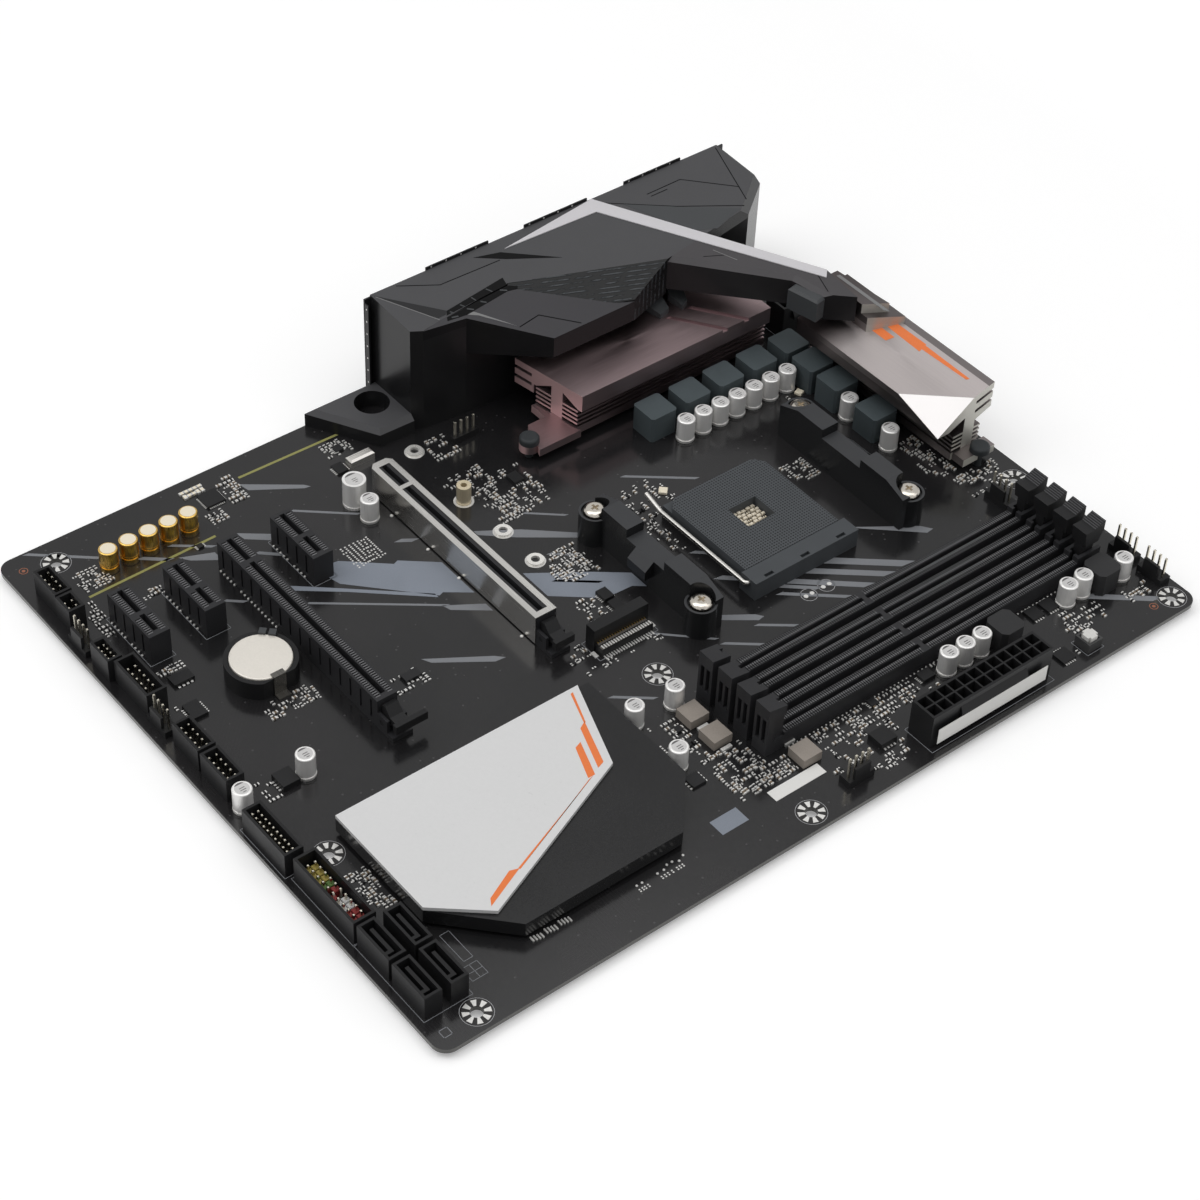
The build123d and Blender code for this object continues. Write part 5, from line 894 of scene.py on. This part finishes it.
# ---- expansion slots: contacts and solder feet
SLOT_TOP = node_top("pcie_x16_slot_2")
SLOT_KEY = 13.6
for node in ("pcie_x1_slot_1", "pcie_x1_slot_2", "pcie_x1_slot_3", "pcie_x16_slot_2"):
    x0, y0, _, y1 = plan(node)
    y_mid = middle(y0, y1)
    long_slot = "x16" in node
    last = x0 + (87.0 if long_slot else 23.6)
    contacts = Piece(node + "_contacts", "slot_plastic")
    x = x0 + 1.8
    while x < last:
        if abs(x - x0 - SLOT_KEY) > 1.2:
            for side in (-1, 1):
                contacts.box(x, y_mid + side * 2.2, SLOT_TOP - SINK, 0.55, 1.7, SINK + 0.04, PIN_DARK)
                contacts.box(x + 0.5, y_mid + side * 2.2, SLOT_TOP - SINK, 0.45, 1.7, SINK + 0.08, RIB_GREY)
        x += 1.0
    stop = 78.0 if long_slot else 63.0
    x = 45.0
    while x <= stop:
        if not 53.5 < x < 56.5:
            for side in (-1, 1):
                contacts.disc(x, y_mid + side * 4.15, BED, 0.42, 0.5, TIN, 8, 0.15)
        x += 2.0

# ---- armour feet
feet = Piece("armour_feet")
for x, y in ((55.5, 116.9), (76.0, 116.9), (93.0, 116.9), (126.5, 116.9), (55.5, 127.3), (93.0, 127.3),
             (126.5, 127.3)):
    feet.disc(x, y, BED, 0.6, 0.45, TIN, 12, 0.15)

# ---- memory slots: comb and contacts
COMB_START, COMB_END, COMB_KEY, COMB_PITCH = 153.2, 279.4, 212.0, 0.85
for number in range(1, 5):
    node = f"dimm_slot_{number}"
    x0, _, x1, _ = plan(node)
    x_mid = middle(x0, x1)
    comb = Piece(node + "_comb", "slot_plastic")
    body_top = DECK + 6.4
    for side in (-1, 1):
        for y_low, y_high in ((152.6, 210.4), (213.6, 279.8)):
            comb.box(x_mid + side * 2.0, middle(y_low, y_high), body_top - SINK, 2.2, y_high - y_low,
                     SINK + 0.04, PIN_DARK)
    y = COMB_START
    while y < COMB_END:
        if abs(y - COMB_KEY) > 1.3:
            for side in (-1, 1):
                comb.box(x_mid + side * 1.45, y, body_top - SINK, 0.9, 0.42, SINK + 0.2, RIB_GREY)
                comb.box(x_mid + side * 2.55, y, body_top - SINK, 0.9, 0.42, SINK + 0.1, RIB_DARK)
        y += COMB_PITCH
    if number == 4:
        # the row of joints seen beside the outer slot
        for k in range(74):
            comb.disc(x_mid + 4.2, 153.4 + 1.7 * k, BED, 0.3, 0.35, TIN, 8, 0.1)

# ---- memory slots: ribbed finger grips of the latches
for number in range(1, 5):
    node = f"dimm_latch_{number}"
    x0, _, x1, y_end = plan(node)
    ribs = Piece(node + "_ribs", "latch_plastic", node)
    for k in range(6):
        y = y_end - 4.2 + 0.75 * k
        z = DECK + 19.9 - (y_end - y) * 1.9 / 4.6
        ribs.box(middle(x0, x1), y, z - 0.25, 5.9, 0.32, 0.5, RIB_DARK, 0.08)

# ---- header pins
pins = Piece("header_pins", "connector_plastic")
for node, ends, base, height in (
    ("box_headers", PIN_END, 2.0, 5.63), ("usb3_header", PIN_END, 2.0, 5.63),
    ("front_panel_header", PIN_END, 2.0, 5.63),
    ("fan_headers", (11.9, 12.1), 2.5, 7.95), ("fan_headers", (10.1, 10.3), 2.5, 6.15),
):
    for x, y in tips(node, *ends, PIN_REACH):
        pins.box(x, y, DECK + base - SINK, 0.7, 0.7, height, PIN_METAL, 0.12)

bases = Piece("panel_pin_bases", "connector_plastic")
panel_pins = tips("front_panel_header", *PIN_END, PIN_REACH)
columns = sorted(set(round(x, 1) for x, y in panel_pins))
for x, y in panel_pins:
    k = columns.index(round(x, 1))
    low_row = y < 7.0
    colour = (0, 0, 0, 1, None if low_row else 2, 2 if low_row else None, 3, 3, 2, 2)[k % 10]
    if colour is not None:
        bases.box(x, y, DECK + 2.0 - SINK, 2.2, 2.2, 3.4, PIN_COLOURS[colour], 0.2)

# ---- power connector contacts
sockets = Piece("power_contacts", "connector_plastic")
for node in ("atx_power_connector", "eps_power_connector"):
    for x, y in tips(node, *TAIL_END, 1.0):
        sockets.box(x, y, DECK + 2.3, 1.06, 1.06, 4.5, CONTACT, 0.2)

# ---- M.2 connector: contact rows and shield strip
_, y0, m2_x, y1 = plan("m2_connector")
m2_y = middle(y0, y1)
m2 = Piece("m2_contacts", "connector_plastic")
m2.box(m2_x - 0.9, m2_y, DECK + 3.0 - SINK, 1.5, 20.4, 0.35, CONTACT, 0.1)
m2.box(m2_x - 2.9, m2_y, DECK + 3.0 - SINK, 0.9, 19.6, 0.2, CONTACT, 0.05)
for k in range(20):
    m2.box(m2_x + 0.8, m2_y - 9.5 + k, BED, 1.7, 0.45, 0.3, TIN)
    m2.box(m2_x - 3.4, m2_y - 9.5 + k, DECK + 3.0 - SINK, 0.5, 0.4, 0.5, GOLD)
    m2.box(m2_x - 0.9, m2_y - 9.5 + k, DECK + 3.3, 1.6, 0.5, 0.25, TIN, 0.06)
for side in (-1, 1):
    m2.box(m2_x - 2.2, m2_y + side * 11.6, BED, 2.6, 1.4, 0.5, TIN, 0.1)

# ---- coin cell: two hooks over its rim
CELL_X, CELL_Y = 91.5, 42.0
DIAGONAL = math.sqrt(0.5)
hooks = Piece("battery_hooks", "connector_plastic")
for across in (-1.6, 1.6):
    for radius, depth, z, height in ((10.65, 2.4, 7.42, 0.8), (11.15, 1.4, 6.4, 1.1)):
        hooks.box(CELL_X + DIAGONAL * (across - radius), CELL_Y + DIAGONAL * (across + radius), DECK + z, 2.3,
                  depth, height, PANEL_GREY, turn=45.0)

# ---- processor socket: capacitors in the window
caps = Piece("socket_window_parts")
caps.box(130.0, 209.7, BED, 11.9, 12.9, 2.6, PIN_DARK)
for i in range(7):
    for j in range(6):
        x, y = 125.2 + i * 1.6, 204.6 + j * 1.95 + (0.7 if i % 2 else 0.0)
        if (i * 5 + j * 3) % 7 == 0:
            for side in (-1, 1):
                caps.box(x, y + side * 0.42, DECK + 2.5, 0.7, 0.5, 0.8, CAP_GOLD, 0.12)
        else:
            caps.box(x, y, DECK + 2.5, 1.1, 1.5, 1.2 if (i + j) % 3 else 0.9, CAP_GOLD, 0.2)

# ---- marked tops of the capacitors
marks = Piece("can_markings", "can_aluminium")
low_cans = [(x, y, 2.35, DECK + 9.0) for x, y in tips("polymer_capacitors", 10.55, 10.65, 6.5)]
tall_cans = [(x, y, 3.1, DECK + 10.6) for x, y in tips("polymer_capacitors", 12.15, 12.25, 8.5)]
for x, y, radius, top in low_cans + tall_cans:
    marks.disc(x, y, top - SINK, radius, SINK + 0.05, CAN_TOP, 20)
    arc = [around(x, y, radius, math.radians(135 + 90 * k / 8)) for k in range(9)]
    marks.slab(arc, MARK_GREY, top, top + 0.07)
    marks.annulus(x, y, DECK + 0.2, radius + 0.92, radius + 0.3, 0.75, TIN, 24)
    for off in (-0.5, 0.35, 1.2):
        marks.box(x + off + 0.4, y, top, 0.28, 2.4 - abs(off) * 1.1, 0.07, MARK_GREY)

cream = Piece("audio_can_tops", "can_gold")
for x, y in tips("audio_capacitors", 9.15, 9.25, 6.5):
    cream.disc(x, y, DECK + 7.6 - SINK, 2.55, SINK + 0.06, CREAM, 20)
    cream.annulus(x, y, DECK + 1.9, 3.22, 2.9, 0.35, GOLD, 24)

# ---- inductor terminals
tops = Piece("inductor_terminals", "ferrite_grey")
for x, y in ((187.49, 137.3), (198.49, 137.3), (216.1, 154.4)):
    for side in (-1, 1):
        tops.box(x + side * 4.0, y, BED, 1.2, 4.0, 1.0, TIN, 0.1)

# ---- chipset cover stripes
plate = Piece("chipset_stripes", "chipset_white")
plate_top = node_top("chipset_cover_plate")
for outline in (
    [(161.6, 109.6), (174.0, 104.9), (173.8, 104.3), (161.8, 108.6)],
    [(173.5, 104.8), (175.0, 102.0), (191.0, 96.2), (190.0, 99.0)],
    [(179.5, 98.5), (180.5, 95.8), (192.5, 91.2), (192.5, 93.8)],
    [(192.5, 93.2), (193.0, 91.2), (208.7, 53.5), (208.0, 53.3)],
    [(208.3, 53.5), (207.3, 50.5), (212.3, 40.0), (214.8, 38.5)],
):
    plate.slab(outline, ORANGE, plate_top - SINK, plate_top + 0.05)


# ---- stripes of the upper heatsink
def sink_roof(x, y):
    return 24.0 + (y - 276.8) * 7.0 / 24.4


upper = Piece("heatsink_stripes", "heatsink_silver")
for outline in (
    [(95.3, 289.7), (105.9, 289.7), (107.0, 292.6), (97.5, 292.6)],
    [(98.5, 294.3), (118.2, 293.8), (117.7, 297.4), (101.7, 297.3)],
    [(118.0, 295.0), (139.2, 295.6), (139.8, 296.6), (117.8, 296.9)],
):
    upper.inlay(outline, sink_roof, ORANGE)


# ---- cover: panel grooves, folded corner, beak, arm, fingers
def roof(x, y):
    return 45.0 - 0.05 * x


def beak(x, y):
    return 36.3 + (46.5 - x) * 0.34


grooves = Piece("cover_grooves", "shroud_plastic")
for points in (
    [(1.2, 158.2), (8.9, 170.9), (9.5, 195.9)],
    [(8.9, 261.7), (8.7, 277.1), (23.8, 292.3)],
    [(10.6, 262.2), (10.6, 269.6)],
    [(1.2, 300.0), (30.6, 289.6)],
    [(4.0, 245.2), (20.0, 266.0), (33.0, 286.6)],
):
    grooves.groove(points, roof, 0.35, GROOVE)
grooves.inlay([(3.4, 189.0), (6.2, 198.6), (20.2, 214.6), (10.2, 197.9)], roof, GROOVE)
grooves.inlay([(8.0, 250.6), (33.4, 261.2), (37.6, 270.2), (33.6, 284.4), (20.6, 266.4)], roof,
              PANEL_GREY, 0.05)
# painted shade and painted highlight: a near-black triangle for the shaded face of the folded corner, with a
# light line along its edge
grooves.inlay([(1.2, 148.9), (21.3, 164.9), (22.7, 163.2), (22.7, 160.0)], roof, RESIN, 0.05)
grooves.groove([(2.0, 149.1), (23.6, 160.0)], roof, 0.3, EDGE_HIGHLIGHT)
grooves.inlay([(21.2, 164.7), (17.6, 190.9), (21.4, 189.9), (23.2, 163.2)], roof, GROOVE, 0.07)
for points in (
    [(22.2, 165.3), (23.4, 166.0)], [(21.2, 170.3), (22.8, 171.0)], [(20.2, 175.7), (22.4, 176.1)],
    [(19.3, 182.5), (21.7, 183.5)],
):
    grooves.groove(points, roof, 0.5, PANEL_GREY, 0.12)

beak_lines = Piece("beak_grooves", "shroud_blade")
beak_lines.inlay([(24.1, 162.7), (25.4, 162.0), (26.2, 169.4), (24.4, 188.0), (25.1, 191.7), (24.2, 192.4),
                  (22.5, 189.3)], beak, GROOVE)
# painted highlight: a light sliver along the beak's edge
beak_lines.inlay([(26.2, 169.8), (26.1, 172.3), (27.4, 173.6), (37.0, 182.4), (28.1, 173.0)], beak,
                 EDGE_HIGHLIGHT, 0.07)
for points in (
    [(24.9, 164.1), (25.4, 166.5)], [(24.2, 170.9), (25.5, 172.9)], [(23.8, 176.9), (25.0, 178.6)],
    [(22.9, 185.8), (24.1, 188.0)],
):
    beak_lines.groove(points, beak, 0.5, PANEL_GREY, 0.11)
beak_lines.groove([(37.8, 183.0), (36.7, 191.9), (45.6, 203.4)], beak, 0.35, GROOVE)

arm_lines = Piece("arm_grooves", "bridge_plastic")
# painted highlight: a light line along the arm's edge, beside a dark groove
arm_lines.groove([(46.1, 261.0), (55.0, 264.5)], roof, 0.25, EDGE_HIGHLIGHT)
arm_lines.groove([(47.0, 255.8), (50.4, 262.4)], roof, 0.25, GROOVE)
arm_lines.groove([(74.0, 283.6), (85.6, 279.6)], roof, 0.3, GROOVE)
arm_lines.box(80.4, 274.9, 31.0, 12.6, 5.4, 8.6, PANEL_GREY, 0.8, 12.0)

fingers = Piece("cover_fingers", "shroud_plastic")
for outline in (
    [(31.6, 243.4), (33.4, 246.8), (44.4, 243.8), (45.6, 239.2), (36.4, 237.4)],
    [(31.0, 252.8), (32.4, 257.2), (44.6, 252.0), (46.0, 248.8), (38.8, 248.0)],
):
    fingers.slab(outline, PANEL_GREY, 21.9, lambda x, y: 26.4 - (x - 31.0) * 0.17)

steps = Piece("heatsink_step_highlights", "heatsink_silver")
# painted highlight: a light strip along the edge of a heatsink step
steps.slab([(77.1, 291.6), (77.4, 293.0), (103.2, 293.0), (101.2, 291.6)], EDGE_HIGHLIGHT, 36.9, 37.06)

# ---- shield: dimples along its flange and raised tabs
flange = Piece("shield_dimples", "shield_metal")
SHIELD_Y = plan("io_shield")[1]
shield_top = node_top("io_shield")
for y0, y1 in ((171.5, 198.1), (213.7, 241.5), (258.3, 284.4)):
    flange.box(-0.25, (y0 + y1) / 2, shield_top - 0.3, 0.5, y1 - y0, 2.7, SHIELD_EDGE, 0.2)
    y = y0 + 2.2
    while y < y1 - 1.0:
        flange.box(0.02, y, shield_top + 1.5, 0.12, 0.55, 0.55, TIN)
        y += 6.3
flange.box(0.9, SHIELD_Y + 0.25, 6.0, 2.4, 0.5, 36.4, SHIELD_EDGE, 0.15)
for k in range(7):
    flange.box(1.2, SHIELD_Y - 0.02, 9.0 + 5.2 * k, 0.55, 0.12, 0.55, TIN)

# ---- rear ports: coloured tongues and jack rings
linings = Piece("port_linings", "port_plastic")
for dy, colour in ((66.5, BLUE), (106.1, BLUE), (130.1, PIN_DARK)):
    for level in (0.5, 1.5):
        z = DECK + 8.2 * level
        linings.box(3.6, SHIELD_Y + dy, z + 0.15, 9.2, 11.1, 1.9, colour, 0.1)
        for k in range(4):
            linings.box(2.6, SHIELD_Y + dy - 3.75 + 2.5 * k, z - 0.02, 6.4, 1.0, 0.2, GOLD)
for level in (0.5, 1.5):
    linings.box(3.6, SHIELD_Y + 46.1, DECK + 8.2 * level + 0.15, 9.2, 11.1, 1.9, BLUE, 0.1)
for row, colour in enumerate((RINGS[2], RINGS[1], RINGS[0])):
    for column in (0, 1):
        linings.ring_x(-2.06, SHIELD_Y + 11.0 + 14.2 * column, DECK + 10.8 * (row + 0.5), 3.6, 1.75, 0.12,
                       colour if column else RINGS[3])
linings.ring_x(-2.06, SHIELD_Y + 130.1, DECK + 16.4 + 7.1, 4.1, 0.3, 0.1, PIN_DARK)

# ---- solder joints under the board
CONE = ((0.5, -1.25), (0.62, -0.9), (1.05, -0.12), (1.05, SINK))
joints = Piece("solder_joints")
for node in sorted(NODES):
    if node in ("pcb", "cooler_backplate", "io_shield", "heatsink_push_pins", "cooler_screws"):
        continue
    for x, y in tips(node, -2.05, -1.9, 1.2):
        joints.loft([[around(x, y, r, math.pi * i / 4) + (z,) for i in range(8)] for r, z in CONE], TIN)
under = Piece("underside_prints")
for node in ("pcie_x1_slot_1", "pcie_x1_slot_2", "pcie_x1_slot_3", "pcie_x16_slot_1", "pcie_x16_slot_2",
             "atx_power_connector", "dimm_slot_1", "dimm_slot_2", "dimm_slot_3", "dimm_slot_4"):
    under.outline(*plan(node), 0.25, SILK, -PRINT_T, SINK)
rng = random.Random(77)
for k in range(420):
    x, y = rng.uniform(6, 238), rng.uniform(6, 298)
    turn = rng.choice((0.0, 90.0))
    behind_backplate = 94 < x < 166 and 155 < y < 264
    if behind_backplate or min(math.hypot(x - hx, y - hy) for hx, hy in HOLES) < 7:
        continue
    under.disc(x, y, -PRINT_T, 0.45, LAYER, TIN, 8)
    if k % 3 == 0:
        under.box(x + 2.0, y, -0.45, 0.7 if turn else 1.4, 1.4 if turn else 0.7, 0.47, CERAMIC)

for piece in Piece.begun:
    piece.build()


# ---- floor, light and camera
class Shaders:
    """Builds the node tree of a material or a world."""

    def __init__(self, owner):
        owner.use_nodes = True
        self.tree = owner.node_tree
        self.tree.nodes.clear()
        self.rays = self.tree.nodes.new("ShaderNodeLightPath").outputs

    def add(self, kind, *links, operation=None, output=0, **values):
        """A node with its inputs set or linked: links are pairs of an input and an output."""
        n = self.tree.nodes.new(kind)
        if operation:
            n.operation = operation
        for key, value in values.items():
            n.inputs[key.replace("_", " ")].default_value = value
        for key, source in links:
            self.tree.links.new(source, n.inputs[key])
        return n.outputs[output] if n.outputs else None

    def either(self, first, second):
        """1 for rays of either kind."""
        return self.add("ShaderNodeMath", (0, self.rays[first]), (1, self.rays[second]), operation="MAXIMUM")

    def choose(self, factor, first, second):
        return self.add("ShaderNodeMixShader", (0, factor), (1, first), (2, second))


WHITE = (1, 1, 1, 1)
BACKDROP = bpy.data.materials.new("studio_floor")
paper = Shaders(BACKDROP)
position = paper.add("ShaderNodeNewGeometry")
away = paper.add("ShaderNodeVectorMath", (0, position), operation="LENGTH", output="Value")
fade = paper.add("ShaderNodeMapRange", ("Value", away),
                 From_Min=0.45, From_Max=2.4, To_Min=0.24, To_Max=1.0)
diffuse = paper.add("ShaderNodeBsdfDiffuse", Color=(0.86, 0.86, 0.86, 1))
glow = paper.add("ShaderNodeEmission", ("Strength", fade), Color=WHITE)
lit = paper.add("ShaderNodeAddShader", (0, diffuse), (1, glow))
seen = paper.either("Is Camera Ray", "Is Glossy Ray")
paper.add("ShaderNodeOutputMaterial", ("Surface", paper.choose(seen, diffuse, lit)))

floor_mesh = bpy.data.meshes.new("studio_floor")
FLOOR_Z = CAD_LOW.z - 0.0002
REACH = 6.0
floor_corners = [(u * REACH, v * REACH, FLOOR_Z) for u, v in ((-1, -1), (1, -1), (1, 1), (-1, 1))]
floor_mesh.from_pydata(floor_corners, [], [(0, 1, 2, 3)])
floor = bpy.data.objects.new("studio_floor", floor_mesh)
floor_mesh.materials.append(BACKDROP)
bpy.context.scene.collection.objects.link(floor)

world = bpy.data.worlds.new("studio")
bpy.context.scene.world = world
air = Shaders(world)
soft, bright, mirrored = (air.add("ShaderNodeBackground", Color=WHITE, Strength=v) for v in (0.42, 1.0, 0.65))
surroundings = air.choose(air.rays["Is Glossy Ray"], soft, mirrored)
seen = air.either("Is Camera Ray", "Is Transmission Ray")
air.add("ShaderNodeOutputWorld", ("Surface", air.choose(seen, surroundings, bright)))


CENTRE = Vector((0.11, 0.13, 0.0))


def lamp(name, place, size, power):
    """A square lamp that faces the middle of the board."""
    data = bpy.data.lights.new(name, "AREA")
    data.shape = "SQUARE"
    data.size = size
    data.energy = power
    obj = bpy.data.objects.new(name, data)
    obj.location = place
    obj.rotation_mode = "QUATERNION"
    obj.rotation_quaternion = (CENTRE - Vector(place)).to_track_quat("-Z", "Y")
    bpy.context.scene.collection.objects.link(obj)


lamp("overhead_light", (0.11, 0.13, 2.2), 2.4, 21.0)
lamp("key_light", (-0.45, -0.85, 1.35), 1.0, 6.0)
lamp("fill_light", (1.1, 0.9, 1.1), 1.0, 2.0)

# the photo's camera, fitted to the board's holes, edges and slots: angles in radians, place in metres
AZ, EL, ROLL = 0.86349, 0.75873, 0.05018
CAMERA_PLACE = (0.603532, -0.284273, 0.607330)
LENS = 82.08
forward = Vector((-math.sin(AZ) * math.cos(EL), math.cos(AZ) * math.cos(EL), -math.sin(EL)))
right = forward.cross(Vector((0, 0, 1))).normalized()
up = right.cross(forward)
turned_right = math.cos(ROLL) * right + math.sin(ROLL) * up
turned_up = -math.sin(ROLL) * right + math.cos(ROLL) * up
camera = bpy.data.objects.new("camera", bpy.data.cameras.new("camera"))
camera.data.lens = LENS
camera.data.sensor_width = 36.0
camera.data.clip_start = 0.05
camera.data.clip_end = 50.0
basis = Matrix((turned_right, turned_up, -forward)).transposed().to_4x4()
camera.matrix_world = Matrix.Translation(CAMERA_PLACE) @ basis
bpy.context.scene.collection.objects.link(camera)
bpy.context.scene.camera = camera
bpy.context.scene.view_settings.view_transform = "Standard"
